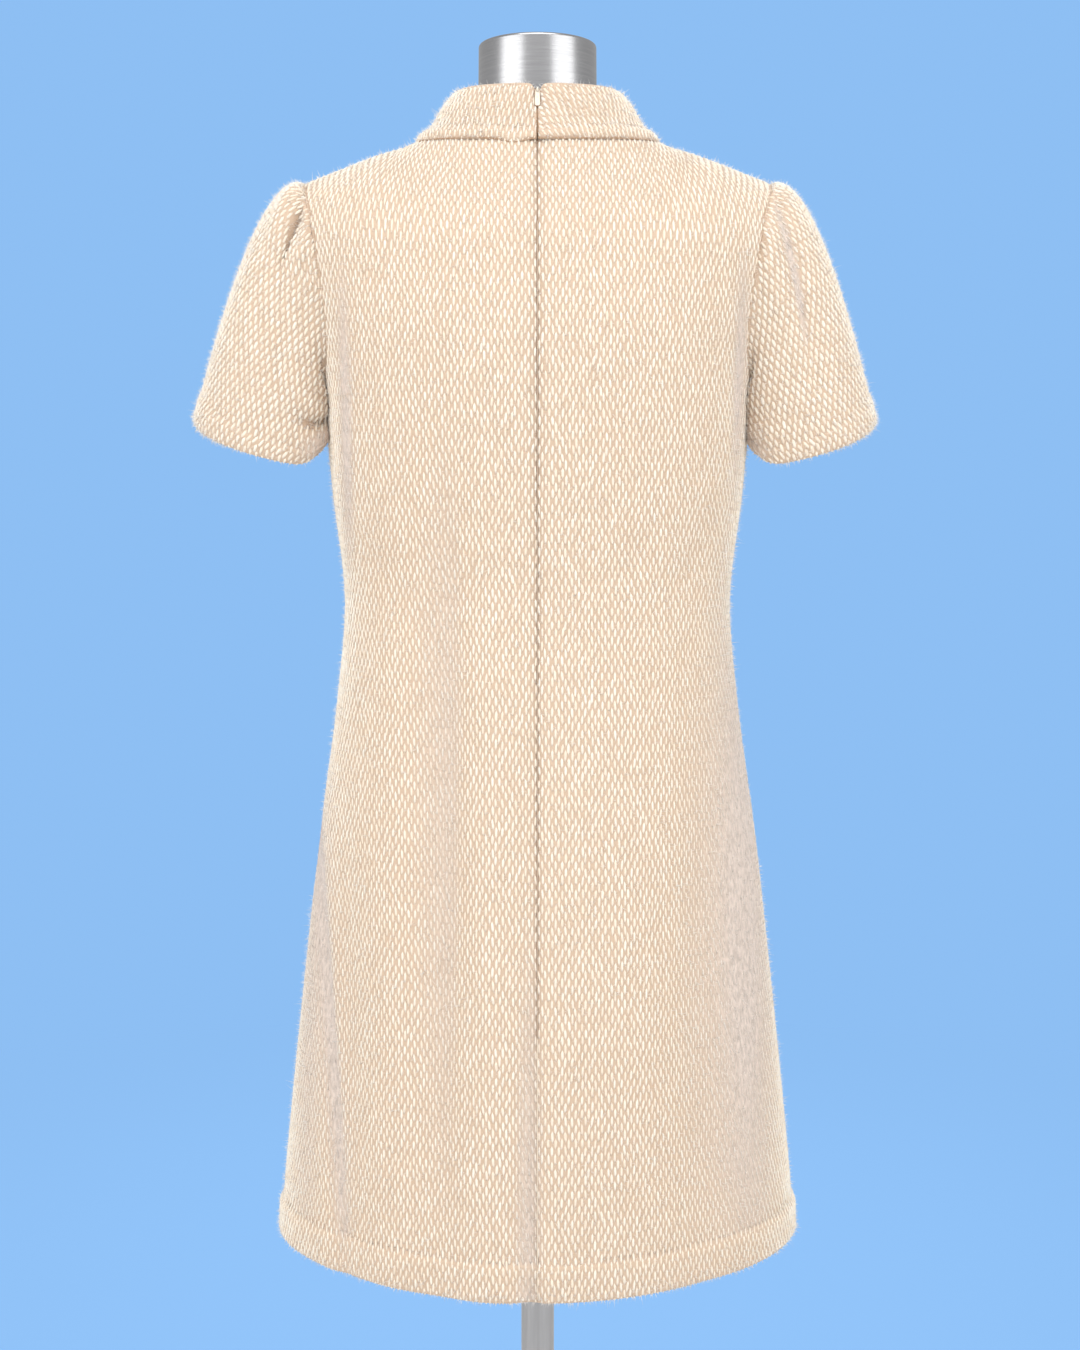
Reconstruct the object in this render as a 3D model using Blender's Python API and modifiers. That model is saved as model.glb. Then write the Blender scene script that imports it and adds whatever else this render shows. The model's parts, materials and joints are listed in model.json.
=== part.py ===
"""Shift dress of chunky wool tweed, worn by a limbless dress form with a steel neck cap, pole and base.

Metres, +Z up. The origin is on the floor under the middle of the form. The wearer faces +Y, so the back of
the dress is at -Y, the wearer's right at +X and the wearer's left at -X.

Every cloth piece is a wall between an outer face and an inner face. The outer face is worked out from a
table of level sections, and the inner face lies one cloth thickness inside it.
"""

from collections import namedtuple
from math import atan2, cos, pi, radians, sin, tan

import bmesh
import bpy
import numpy as np
from mathutils import Matrix, Vector

# Cloth and making
CLOTH = 0.0024  # thickness of one layer of the tweed
SEAM = 0.0003  # gap between two pieces at a seam
BACK, FRONT = -1, 1  # side of the dress: sign of its y
LEFT, RIGHT = -1, 1  # side of the wearer: sign of its x

# Heights of the dress
HEM = 0.512
HEM_BAND = 0.027  # height of the turned-up skirt hem
HEM_STEP = 0.005  # height over which the turned-up hem steps down to the single cloth
HEM_FOLD = 0.004  # first row above the hem's fold
UNDERARM = 1.208
YOKE = 1.325  # the rows are level up to here, and above it they bend over the shoulder
CREST = YOKE + 0.080  # row height that stands for the neckline and shoulder seam
ZIP_END = 1.122
BAND_PROUD = 0.0014  # how far the turned-up bands stand out of the cloth above them
BAND_LAYERS = 2.0  # cloth thicknesses in a turned-up band

# Neckline and shoulder
NECK_WIDTH = 0.0985  # half the width of the neckline
NECK_BACK = 0.068  # depth of the neckline behind the neck's axis
NECK_FRONT = 0.080
NECK_Z = 1.4175  # height at the side of the neck
NECK_DROP_BACK = 0.007
NECK_DROP_FRONT = 0.034
SHOULDER = (0.1885, 0.006, 1.3845)  # outer end of the shoulder seam: x, depth behind the axis, z
NECK_SHARE = 0.5  # share of a panel's half width, counted in columns, that the neckline takes
YOKE_STEP = 0.002  # height below the yoke line over which its slope is taken
SMALL = 1e-4  # step over which slopes of the other faces are taken

# Collar
RIM_WIDTH = 0.0640
RIM_BACK = 0.0620
RIM_FRONT = 0.0690
RIM_Z_SIDE = 1.4600
RIM_Z_BACK = 1.4545
RIM_Z_FRONT = 1.4330
COLLAR_THICK = 0.0054  # two layers of the tweed
COLLAR_SEAM_THICK = 0.0032  # where the layers are pressed together at the neck seam
COLLAR_SHAPE = 0.0018  # how far the collar's side hollows below and swells above a straight side
COLLAR_ROLL = 0.0014  # how far the collar rolls out over the neck seam at the centre back
ROLL_PLACE = 0.13  # share of the collar's height at which the roll is widest
ROLL_WIDTH = 0.08
ROLL_SIDES = 1.8  # how much more the collar rolls out at its sides
COLLAR_LIFT = 0.0005  # the collar's foot stands this far over the neckline
COLLAR_FULL = 0.35  # share of the collar's height at which it has its full thickness
FACING_REACH = radians(16)  # the second layer ends at the zip over this angle
RIM_PLACES = (0.25, 0.75)  # shares of the thickness at which the rounded rim's two top edges lie
END_STEP = radians(3)  # second cross-section beside the centre back
NOTCH_DEPTH = 0.0062  # how far the rounded ends drop at the centre back
NOTCH_REACH = radians(11)
SLIT = 0.0009  # half the width of the zip's opening
SLIT_EASE = 0.020  # height over which the slit closes into the seam

# Sleeves
CUFF_X = {LEFT: 0.2279, RIGHT: 0.2258}  # middle of the cuff
CUFF_Z = 1.1827
CUFF_WIDTH = {LEFT: 0.0527, RIGHT: 0.0506}  # half the cuff's width
CUFF_DEPTH = 0.0500
CUFF_POWER = 2.3
CUFF_RISE_OUT = 0.31  # rise of the cuff's plane for each metre outwards
CUFF_RISE_FRONT = 0.30
CUFF_LIFT = 0.0065  # the cuff's corner beside the body is drawn up this far
CUFF_LIFT_FROM = 0.55  # share of the cuff's half width at which that begins
ARMHOLE_EASE = 1.35  # how much closer than level rows the places round the armhole lie at the underarm
CUFF_BAND = 0.09  # share of the sleeve's length that is turned up
CUFF_STEP = 0.03  # share over which the turned-up cuff steps down to the single cloth
CUFF_FOLD = 0.015  # last row before the cuff's fold
TUCK_RISE = 0.07  # share of the sleeve's length over which a tuck opens below the armhole
SLEEVE_END_PULL = 0.80  # how stiffly the sleeve's sides run into the cuff

# Zip
TAPE_WIDTH = 0.0070
TAPE_THICK = 0.0008
TAPE_GAP = 0.0006
HINGE_Z = 1.4482
HINGE_OUT = 0.0019  # distance of the pull's hinge from the collar's outer face
SLIDER_WIDTH = 0.0050
SLIDER_THICK = 0.0028
SLIDER_TOP = 0.0010  # the slider's body from above the hinge to below it
SLIDER_LOW = -0.0075
SLIDER_GAP = 0.0005  # between the tapes and the slider's body
SLIDER_ROUND = 0.0005
LUG_THICK = 0.0011  # the slider's lug passes through the slit and holds the pull's bar in its hole
LUG_RADIUS = 0.0017
LUG_HOLE = 0.00095
PULL_THICK = 0.0009
PULL_TOP_WIDTH = 0.0044
PULL_WIDTH = 0.0054
PULL_LENGTH = 0.0135  # below the hinge
PULL_CORNER = 0.0014
PULL_TILT = radians(4.3)  # the pull leans on the collar with its tip
WINDOW_WIDTH = 0.0023
WINDOW_LENGTH = 0.0028  # from the hinge to the window's lower end
PULL_PLACES = (0.62, 0.93)  # the pull lies on the collar between these shares of its height

# Dress form
CAP_RADIUS = 0.0482
CAP_TOP_RADIUS = 0.0477
CAP_TOP = 1.4965
CAP_HEIGHT = 0.0550
CAP_ROUND = 0.0022
NECK_RADIUS = 0.0477
NECK_STEPS = (0.18, 0.36, 0.56, 0.78, 1.0)  # rings between the torso's top and the cap
NECK_SPREAD = np.array([1.5, 1.5, 0.5])  # how the torso's top runs into the neck
NECK_RISE = np.array([0.0, 0.0, 0.045])
POLE_RADIUS = 0.0140
FORM_BOTTOM = 0.662
BASE_RADIUS = 0.180
BASE_THICK = 0.008
BASE_ROUND = 0.0025

# Grid sizes
HALF_COLUMNS = 14
EDGE_COLUMN = 0.03  # share of the half width that the column beside the centre back takes
SKIRT_ROWS = 13
ROW_CLOSENESS = 1.3  # how much closer the skirt's rows lie towards the underarm
CHEST_CLOSENESS = 1.6
CHEST_ROWS = 7
YOKE_ROWS = 7
SLEEVE_ROWS = 10
SLEEVE_CLOSENESS = 1.3  # how much closer the sleeve's rows lie towards the armhole
COLLAR_PLACES = (0.0, 0.05, 0.12, 0.24, 0.42, 0.62, 0.80, 0.93)

Section = namedtuple("Section", "z half_width back front power")
BODY = (  # outer face of the dress at each level; above the underarm only the depths and the power count
    Section(0.512, 0.2190, 0.1635, 0.1580, 1.80),
    Section(0.610, 0.2092, 0.1535, 0.1505, 1.84),
    Section(0.740, 0.1950, 0.1395, 0.1395, 1.92),
    Section(0.860, 0.1809, 0.1245, 0.1275, 2.03),
    Section(0.970, 0.1653, 0.1127, 0.1180, 2.15),
    Section(1.047, 0.1586, 0.1067, 0.1137, 2.28),
    Section(1.140, 0.1684, 0.1120, 0.1238, 2.38),
    Section(1.208, 0.1735, 0.1165, 0.1290, 2.45),
    Section(1.265, 0.1750, 0.1180, 0.1260, 2.50),
    Section(1.325, 0.1750, 0.1120, 0.1130, 2.50),
)

ArmholePoint = namedtuple("ArmholePoint", "z back_x back_y front_x front_y")
ARMHOLE = (  # edge of the armhole between the underarm and the yoke
    ArmholePoint(1.208, 0.1735, 0.0000, 0.1735, 0.0000),
    ArmholePoint(1.213, 0.1728, 0.0200, 0.1728, 0.0200),
    ArmholePoint(1.224, 0.1706, 0.0360, 0.1707, 0.0370),
    ArmholePoint(1.243, 0.1679, 0.0485, 0.1678, 0.0500),
    ArmholePoint(1.270, 0.1676, 0.0580, 0.1662, 0.0570),
    ArmholePoint(1.300, 0.1705, 0.0615, 0.1678, 0.0560),
    ArmholePoint(1.325, 0.1742, 0.0600, 0.1705, 0.0510),
)

CrestLean = namedtuple("CrestLean", "place inward over up")
CREST_LEANS = (  # way in which the cloth runs into the neckline and shoulder seam, from the centre outwards
    CrestLean(0.00, 0.00, 0.32, 0.95),
    CrestLean(0.25, 0.30, 0.50, 0.80),
    CrestLean(0.50, 0.62, 0.74, 0.25),
    CrestLean(0.66, 0.15, 1.00, 0.00),
    CrestLean(1.00, 0.00, 1.00, 0.00),
)
CREST_PULL = 1.10

Fold = namedtuple("Fold", "side x_top z_top x_low z_low width depth")
FOLDS = (  # long soft troughs; a depth under zero is a ridge
    Fold(BACK, -0.080, 1.330, -0.086, 0.440, 0.022, 0.0060),
    Fold(BACK, -0.036, 1.200, -0.058, 0.200, 0.026, -0.0036),
    Fold(BACK, -0.160, 0.960, -0.142, 0.400, 0.013, 0.0040),
    Fold(BACK, 0.128, 1.100, 0.136, 0.380, 0.026, 0.0055),
    Fold(BACK, 0.062, 1.080, 0.064, 0.420, 0.034, -0.0024),
    Fold(FRONT, -0.100, 1.130, -0.112, 0.250, 0.024, 0.0050),
    Fold(FRONT, -0.045, 1.000, -0.056, 0.250, 0.028, -0.0035),
    Fold(FRONT, 0.012, 0.900, 0.008, 0.250, 0.022, 0.0040),
    Fold(FRONT, 0.106, 1.130, 0.122, 0.250, 0.026, 0.0050),
    Fold(FRONT, 0.160, 0.950, 0.172, 0.250, 0.020, -0.0030),
)
GROOVE_DEPTH = 0.0016  # the centre back seam sinks into the cloth
GROOVE_WIDTH = 0.0075
FOLD_FADE = 1.5  # how quickly a fold deepens from its ends
EDGE_FADE = 8  # how close to the side seam and armhole the folds still run
SLIT_FADE = 4  # how quickly the slit's opening dies away from the centre

Tuck = namedtuple("Tuck", "place reach width depth lean")
TUCKS = {  # folds pinched into the sleeve head; place 0.5 is the top of the shoulder, 0.25 the back
    LEFT: (
        Tuck(0.425, 0.36, 0.020, 0.0075, -0.03),
        Tuck(0.470, 0.26, 0.018, -0.0030, -0.02),
        Tuck(0.580, 0.34, 0.022, 0.0060, 0.03),
    ),
    RIGHT: (
        Tuck(0.455, 0.62, 0.026, 0.0065, -0.06),
        Tuck(0.385, 0.40, 0.030, -0.0030, -0.03),
        Tuck(0.570, 0.36, 0.022, 0.0060, 0.04),
    ),
}

FormEase = namedtuple("FormEase", "h ease")
FORM_EASE = (  # room between the torso and the inside of the dress at each row; it bears at the shoulders
    FormEase(0.662, 0.0150),
    FormEase(0.860, 0.0110),
    FormEase(1.047, 0.0150),
    FormEase(1.208, 0.0095),
    FormEase(1.325, 0.0065),
    FormEase(1.372, 0.0022),
    FormEase(1.400, 0.0005),
    FormEase(1.405, 0.0005),
)
FORM_NECK_EASE = 0.0036  # more room round the neck, most of it at the centre
FORM_NECK_SHARE = 0.65
FORM_NECK_REACH = 0.1  # height above the underarm over which that room opens
FORM_TOP = 0.6  # the torso ends at this share of the dress's last row
FORM_LEVELS = (FORM_BOTTOM, 0.76, 0.86, 0.96, 1.047, 1.13)  # rows of the torso below the underarm
PLATE_BULGE = 0.07  # how far the arm plate swells, for each metre of its width

Finish = namedtuple("Finish", "name colour roughness metallic")
TWEED = Finish("oat_tweed", (0.80, 0.68, 0.52), 0.9, 0.0)
TAPE = Finish("zip_tape_ecru", (0.70, 0.60, 0.46), 0.85, 0.0)
ENAMEL = Finish("ivory_enamel", (0.88, 0.82, 0.72), 0.35, 0.0)
JERSEY = Finish("form_jersey", (0.78, 0.76, 0.72), 0.9, 0.0)
STEEL = Finish("brushed_steel", (0.62, 0.62, 0.63), 0.28, 1.0)
SHARP = radians(40)  # edges that turn further than this stay sharp


# Shape functions

def smooth(places, values, at):
    """Read a smooth curve through the points (places, values): cubic pieces that share their slopes."""
    places = np.asarray(places, float)
    values = np.asarray(values, float)
    at = np.asarray(at, float)
    slopes = np.gradient(values, places)
    i = np.clip(np.searchsorted(places, at) - 1, 0, len(places) - 2)
    span = places[i + 1] - places[i]
    f = np.clip((at - places[i]) / span, 0, 1)
    ends = (1 + 2 * f) * (1 - f) ** 2 * values[i] + f ** 2 * (3 - 2 * f) * values[i + 1]
    return ends + span * f * (1 - f) * ((1 - f) * slopes[i] - f * slopes[i + 1])


def read(table, name, at):
    """Read one named column of a table against its first column."""
    return smooth([row[0] for row in table], [getattr(row, name) for row in table], at)


def ease(value):
    """Rise from 0 to 1 with level ends."""
    value = np.clip(value, 0, 1)
    return value * value * (3 - 2 * value)


def hermite(start, leaving, end, arriving, w):
    """Cubic curve from start to end with the given speeds at its two ends."""
    w = w[..., None]
    return (
        (1 + 2 * w) * (1 - w) ** 2 * start
        + w * (1 - w) ** 2 * leaving
        + w ** 2 * (3 - 2 * w) * end
        - w ** 2 * (1 - w) * arriving
    )


def unit(vectors):
    return vectors / np.linalg.norm(vectors, axis=-1, keepdims=True)


def crossing(points_along, points_up):
    """Unit normal of a surface from its change along a row and its change up a column."""
    return unit(np.cross(points_along, points_up))


def rounded(angle, power):
    """Cosine and sine of a superellipse: its corners fill out as the power grows past 2."""
    c = np.abs(np.cos(angle)) ** (2 / power) * np.sign(np.cos(angle))
    s = np.abs(np.sin(angle)) ** (2 / power) * np.sign(np.sin(angle))
    return c, s


# Body of the dress

def level_face(side, s, z):
    """Level rows: a superellipse from the centre line (s = 0) to the side seam or armhole (s = 1)."""
    name = "back" if side == BACK else "front"
    depth = read(BODY, name, z)
    power = read(BODY, "power", z)
    above = z > UNDERARM
    edge_y = np.where(above, read(ARMHOLE, name + "_y", z), 0.0)
    edge_x = np.where(above, read(ARMHOLE, name + "_x", z), read(BODY, "half_width", z))
    last = np.arccos(np.clip(edge_y / depth, 0, 1) ** (power / 2))
    c, c_s = rounded(np.abs(s) * last, power)
    _, last_s = rounded(last, power)
    x = np.sign(s) * edge_x * c_s / last_s
    return np.stack([x, side * depth * c, z + 0 * s], -1)


def neckline(angle):
    """Neck seam: half an ellipse behind the neck and half in front; angle 0 is the centre back."""
    behind = np.cos(angle) > 0
    depth = np.where(behind, NECK_BACK, NECK_FRONT)
    drop = np.where(behind, NECK_DROP_BACK, NECK_DROP_FRONT)
    return np.stack(
        [
            NECK_WIDTH * np.sin(angle),
            -depth * np.cos(angle),
            NECK_Z - drop * np.cos(angle) ** 2,
        ],
        -1,
    )


def crest(side, s):
    """Top edge of a panel: a quarter of the neckline, then the straight shoulder seam."""
    share = np.clip(np.abs(s) / NECK_SHARE, 0, 1) * pi / 2
    neck = neckline(share if side == BACK else pi - share)
    along = np.clip((np.abs(s) - NECK_SHARE) / (1 - NECK_SHARE), 0, 1)[..., None]
    tip = np.array([SHOULDER[0], -SHOULDER[1], SHOULDER[2]])
    points = neck + along * (tip - neck)
    points[..., 0] *= np.where(s < 0, -1, 1)
    return points


def yoke_face(side, s, w):
    """Rows above the yoke line: each column bends from its level row up to the neckline or shoulder seam."""
    base = level_face(side, s, np.full(s.shape, YOKE))
    slope = (base - level_face(side, s, np.full(s.shape, YOKE - YOKE_STEP))) / YOKE_STEP
    top = crest(side, s)
    lean = unit(
        np.stack(
            [
                -np.sign(s) * read(CREST_LEANS, "inward", np.abs(s)),
                -side * read(CREST_LEANS, "over", np.abs(s)),
                read(CREST_LEANS, "up", np.abs(s)),
            ],
            -1,
        )
    )
    reach = np.linalg.norm(top - base, axis=-1, keepdims=True)
    return hermite(base, slope * reach, top, CREST_PULL * reach * lean, w)


def slit(h):
    """Half the gap between the two backs at the centre: open along the zip, closed in the seam below."""
    return SEAM / 2 + (SLIT - SEAM / 2) * ease((h - ZIP_END) / SLIT_EASE)


def body_face(side, s, h):
    """Outer face of the dress without folds, at share s of the half width and row height h."""
    s, h = np.broadcast_arrays(np.asarray(s, float), np.asarray(h, float))
    low = level_face(side, s, np.minimum(h, YOKE))
    w = np.clip((h - YOKE) / (CREST - YOKE), 0, 1)
    points = np.where((h > YOKE)[..., None], yoke_face(side, s, w), low)
    points[..., 1] += side * SEAM / 2
    return points


def body_normal(side, s, h):
    """Outward normal of the dress without folds."""
    s, h = np.broadcast_arrays(np.asarray(s, float), np.asarray(h, float))
    s_low, s_high = np.maximum(s - SMALL, -1), np.minimum(s + SMALL, 1)
    h_low, h_high = np.maximum(h - SMALL, HEM), np.minimum(h + SMALL, CREST)
    along = body_face(side, s_high, h) - body_face(side, s_low, h)
    up = body_face(side, s, h_high) - body_face(side, s, h_low)
    return -side * crossing(along, up)


def fold_depth(side, points):
    """How far the folds sink the outer face: each is a bell across a slanting line that fades at its ends."""
    x, z = points[..., 0], points[..., 2]
    depth = np.zeros(x.shape)
    for fold in FOLDS:
        if fold.side == side:
            up = (z - fold.z_low) / (fold.z_top - fold.z_low)
            line = fold.x_low + up * (fold.x_top - fold.x_low)
            bell = np.exp(-(((x - line) / fold.width) ** 2))
            depth += fold.depth * bell * np.sin(pi * np.clip(up, 0, 1)) ** FOLD_FADE
    if side == BACK:
        depth += GROOVE_DEPTH * np.exp(-((x / GROOVE_WIDTH) ** 2))
    return depth


def band(h):
    """1 in the turned-up hem, 0 above it."""
    return 1 - ease((h - HEM - HEM_BAND) / HEM_STEP)


def body_wall(side, s, h):
    """Outer and inner points of a panel, folds and hem band included."""
    base = body_face(side, s, h)
    normal = body_normal(side, s, h)
    s, h = np.broadcast_arrays(s, h)
    edge = 1 - np.abs(s) ** EDGE_FADE  # the folds die away at the side seam and armhole
    out = BAND_PROUD * band(h) - fold_depth(side, base) * edge
    thick = CLOTH * (1 + (BAND_LAYERS - 1) * band(h))
    outer = base + normal * out[..., None]
    inner = base + normal * (out - thick)[..., None]
    if side == BACK:
        open_up = np.sign(s + 1e-9) * slit(h) * (1 - np.abs(s)) ** SLIT_FADE
        outer[..., 0] += open_up
        inner[..., 0] = np.where(np.abs(s) < 1e-6, outer[..., 0], inner[..., 0] + open_up)
    return outer, inner


def row_heights():
    """Row heights of a panel: close at the hem band and armhole, even elsewhere."""
    hem = [HEM, HEM + HEM_FOLD, HEM + HEM_BAND, HEM + HEM_BAND + HEM_STEP]
    down = np.linspace(1, 0, SKIRT_ROWS)[1:] ** ROW_CLOSENESS
    skirt = UNDERARM - (UNDERARM - hem[-1]) * down
    chest = UNDERARM + (YOKE - UNDERARM) * np.linspace(0, 1, CHEST_ROWS + 1)[1:] ** CHEST_CLOSENESS
    yoke = np.linspace(YOKE, CREST, YOKE_ROWS + 1)[1:]
    return np.concatenate([hem, skirt, chest, yoke])


# Sleeves

def armhole_shares():
    """Places round the armhole: the rows of the back going up, then those of the front coming down."""
    rows = row_heights()
    rows = rows[rows > UNDERARM - 1e-6]
    up = ((rows - UNDERARM) / (CREST - UNDERARM)).clip(0, 1) ** (1 / ARMHOLE_EASE) / 2
    return np.concatenate([up, 1 - up[-2:0:-1]])


def armhole_edge(q):
    """Edge of the armhole all round, without gaps: q 0 underarm, 0.25 back, 0.5 shoulder, 0.75 front.

    Gives the point, the way out of the panel in its own surface, and the panel's normal.
    """
    q = np.asarray(q, float) % 1.0
    back = q <= 0.5
    share = np.where(back, q, 1 - q) * 2
    h = UNDERARM + (CREST - UNDERARM) * share ** ARMHOLE_EASE
    ones = np.ones(q.shape)
    result = []
    for side in (BACK, FRONT):
        point = body_face(side, ones, h)
        ahead = body_face(side, ones, np.minimum(h + SMALL, CREST))
        behind = body_face(side, ones, np.maximum(h - SMALL, UNDERARM))
        normal = body_normal(side, ones, h)
        way = unit(np.cross(ahead - behind, normal)) * -side
        result.append((point, way, normal))
    pick = back[..., None]
    point, way, normal = (np.where(pick, b, f) for b, f in zip(*result))
    seam = (share[..., None] < 1e-6) | (share[..., None] > 1 - 1e-6)
    middle = tuple((b + f) / 2 for b, f in zip(*result))
    point = np.where(seam, middle[0], point)
    way = np.where(seam, unit(middle[1]), way)
    normal = np.where(seam, unit(middle[2]), normal)
    return point, way, normal


def cuff(hand, q):
    """Edge of the cuff: a superellipse in a plane that rises outwards and to the front.

    Its corner beside the body is drawn up.
    """
    c, s = rounded(2 * pi * np.asarray(q, float), CUFF_POWER)
    x = -CUFF_WIDTH[hand] * c
    y = -CUFF_DEPTH * s
    z = CUFF_Z + CUFF_RISE_OUT * x + CUFF_RISE_FRONT * y
    z += CUFF_LIFT * ease((c - CUFF_LIFT_FROM) / (1 - CUFF_LIFT_FROM))
    return np.stack([CUFF_X[hand] + x, y, z], -1)


SleeveTurn = namedtuple("SleeveTurn", "q turn pull")
SLEEVE_TURNS = (  # at the armhole: angle by which the sleeve turns out of the body, and how far it holds it
    SleeveTurn(0.00, 88.0, 0.55),
    SleeveTurn(0.10, 62.0, 0.50),
    SleeveTurn(0.25, 36.0, 0.45),
    SleeveTurn(0.40, 50.0, 0.50),
    SleeveTurn(0.50, 46.0, 0.54),
    SleeveTurn(0.60, 50.0, 0.50),
    SleeveTurn(0.75, 36.0, 0.45),
    SleeveTurn(0.90, 62.0, 0.50),
    SleeveTurn(1.00, 88.0, 0.55),
)


def sleeve_face(hand, q, r):
    """Outer face of the right sleeve without tucks: each line runs from the armhole (r 0) to the cuff (r 1)."""
    q, r = np.broadcast_arrays(np.asarray(q, float), np.asarray(r, float))
    point, way, normal = armhole_edge(q)
    turn = np.radians(read(SLEEVE_TURNS, "turn", q % 1.0))[..., None]
    pull = read(SLEEVE_TURNS, "pull", q % 1.0)[..., None]
    start = point + way * SEAM
    end = cuff(hand, q)
    reach = np.linalg.norm(end - start, axis=-1, keepdims=True)
    leaving = np.cos(turn) * way + np.sin(turn) * normal
    down = unit(np.array([CUFF_RISE_OUT, CUFF_RISE_FRONT, -1.0]))
    return hermite(start, leaving * pull * reach, end, down * SLEEVE_END_PULL * reach, r)


def sleeve_normal(hand, q, r):
    around = sleeve_face(hand, q + SMALL, r) - sleeve_face(hand, q - SMALL, r)
    along = sleeve_face(hand, q, np.minimum(r + SMALL, 1)) - sleeve_face(hand, q, np.maximum(r - SMALL, 0))
    return crossing(along, around)


def sleeve_wall(hand, q, r):
    """Outer and inner points of a sleeve: tucks at its head, a turned-up band at its cuff."""
    base = sleeve_face(hand, q, r)
    normal = sleeve_normal(hand, q, r)
    q, r = np.broadcast_arrays(q, r)
    folded = ease((r - 1 + CUFF_BAND + CUFF_STEP) / CUFF_STEP)
    out = BAND_PROUD * folded
    for tuck in TUCKS[hand]:
        line = tuck.place + tuck.lean * r / tuck.reach
        bell = np.exp(-(((q - line) / tuck.width) ** 2))
        fade = ease(r / TUCK_RISE) * (1 - ease((r - TUCK_RISE) / tuck.reach))
        out = out - tuck.depth * bell * fade
    thick = CLOTH * (1 + (BAND_LAYERS - 1) * folded)
    outer = base + normal * out[..., None]
    inner = base + normal * (out - thick)[..., None]
    mirror = np.array([hand, 1, 1])
    return outer * mirror, inner * mirror


# Collar

def collar_rim(angle):
    """Outer edge of the collar's rim, before its ends are rounded off at the centre back."""
    behind = np.cos(angle) > 0
    depth = np.where(behind, RIM_BACK, RIM_FRONT)
    end_z = np.where(behind, RIM_Z_BACK, RIM_Z_FRONT)
    z = RIM_Z_SIDE + (end_z - RIM_Z_SIDE) * np.cos(angle) ** 2
    return np.stack([RIM_WIDTH * np.sin(angle), -depth * np.cos(angle), z], -1)


def collar_face(angle, p):
    """Outer face of the collar, from the neck seam (p 0) to the rim (p 1)."""
    angle, p = np.broadcast_arrays(np.asarray(angle, float), np.asarray(p, float))
    foot = neckline(angle)
    rim = collar_rim(angle)
    foot[..., 0] -= SEAM * np.sin(angle)
    foot[..., 2] += COLLAR_LIFT
    to_centre = np.minimum(angle, 2 * pi - angle)
    rim[..., 2] -= NOTCH_DEPTH * (1 - ease(to_centre / NOTCH_REACH)) ** 1.5
    points = foot + p[..., None] * (rim - foot)
    outward = unit(points * np.array([1, 1, 0]))
    sideways = np.abs(np.sin(angle))
    roll = COLLAR_ROLL * np.exp(-(((p - ROLL_PLACE) / ROLL_WIDTH) ** 2)) * (1 + ROLL_SIDES * sideways)
    shape = roll - COLLAR_SHAPE * np.sin(2 * pi * p) * sideways
    return points + outward * shape[..., None]


def collar_normal(angle, p):
    around = collar_face(angle + SMALL, p) - collar_face(angle - SMALL, p)
    up = collar_face(angle, np.minimum(p + SMALL, 1)) - collar_face(angle, np.maximum(p - SMALL, 0))
    return crossing(around, up)


def collar_thickness(angle, p):
    """Thin at the neck seam and where the facing ends at the zip, two layers elsewhere."""
    to_centre = np.minimum(angle, 2 * pi - angle)
    full = COLLAR_SEAM_THICK + (COLLAR_THICK - COLLAR_SEAM_THICK) * ease(p / COLLAR_FULL)
    return CLOTH + (full - CLOTH) * ease(to_centre / FACING_REACH)


# Meshes

def finish_material(finish):
    """The material of a finish, made once."""
    material = bpy.data.materials.get(finish.name)
    if material is None:
        material = bpy.data.materials.new(finish.name)
        material.use_nodes = True
        shader = material.node_tree.nodes["Principled BSDF"]
        shader.inputs["Base Color"].default_value = (*finish.colour, 1.0)
        shader.inputs["Roughness"].default_value = finish.roughness
        shader.inputs["Metallic"].default_value = finish.metallic
    return material


def new_object(name, mesh, finish):
    """Put a finished mesh in the part's collection under its node's name."""
    mesh.materials.append(finish_material(finish))
    mesh.shade_smooth()
    mesh.set_sharp_from_angle(angle=SHARP)
    piece = bpy.data.objects.new(name, mesh)
    part_collection.objects.link(piece)
    return piece


def outward_mesh(name, points, faces):
    """Make a closed mesh from points and faces, with its faces turned outwards."""
    mesh = bpy.data.meshes.new(name)
    mesh.from_pydata([tuple(p) for p in points], [], faces)
    shape = bmesh.new()
    shape.from_mesh(mesh)
    bmesh.ops.recalc_face_normals(shape, faces=shape.faces)
    shape.to_mesh(mesh)
    shape.free()
    return mesh


def wall_mesh(name, outer, inner, ring=False):
    """Close the space between two grids of points; a ring's first and last columns are neighbours."""
    rows, columns = outer.shape[:2]
    points = np.concatenate([outer.reshape(-1, 3), inner.reshape(-1, 3)])
    layer = rows * columns
    faces = []

    def at(row, column, side=0):
        return side * layer + row * columns + column % columns

    spans = columns if ring else columns - 1
    for row in range(rows - 1):
        for column in range(spans):
            corners = ((row, column), (row, column + 1), (row + 1, column + 1), (row + 1, column))
            faces.append([at(*corner) for corner in corners])
            faces.append([at(*corner, 1) for corner in reversed(corners)])
    for row in (0, rows - 1):
        for column in range(spans):
            faces.append([at(row, column), at(row, column, 1), at(row, column + 1, 1), at(row, column + 1)])
    if not ring:
        for column in (0, columns - 1):
            for row in range(rows - 1):
                faces.append([at(row, column), at(row + 1, column), at(row + 1, column, 1), at(row, column, 1)])
    return outward_mesh(name, points, faces)


def loft_mesh(name, rings):
    """Join closed rings of points one above the other and close both ends."""
    rows, columns = rings.shape[:2]
    faces = []
    for row in range(rows - 1):
        for column in range(columns):
            after = (column + 1) % columns
            faces.append([
                row * columns + column,
                row * columns + after,
                (row + 1) * columns + after,
                (row + 1) * columns + column,
            ])
    faces.append(list(range(columns)))
    faces.append(list(range((rows - 1) * columns, rows * columns)))
    return outward_mesh(name, rings.reshape(-1, 3), faces)


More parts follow.
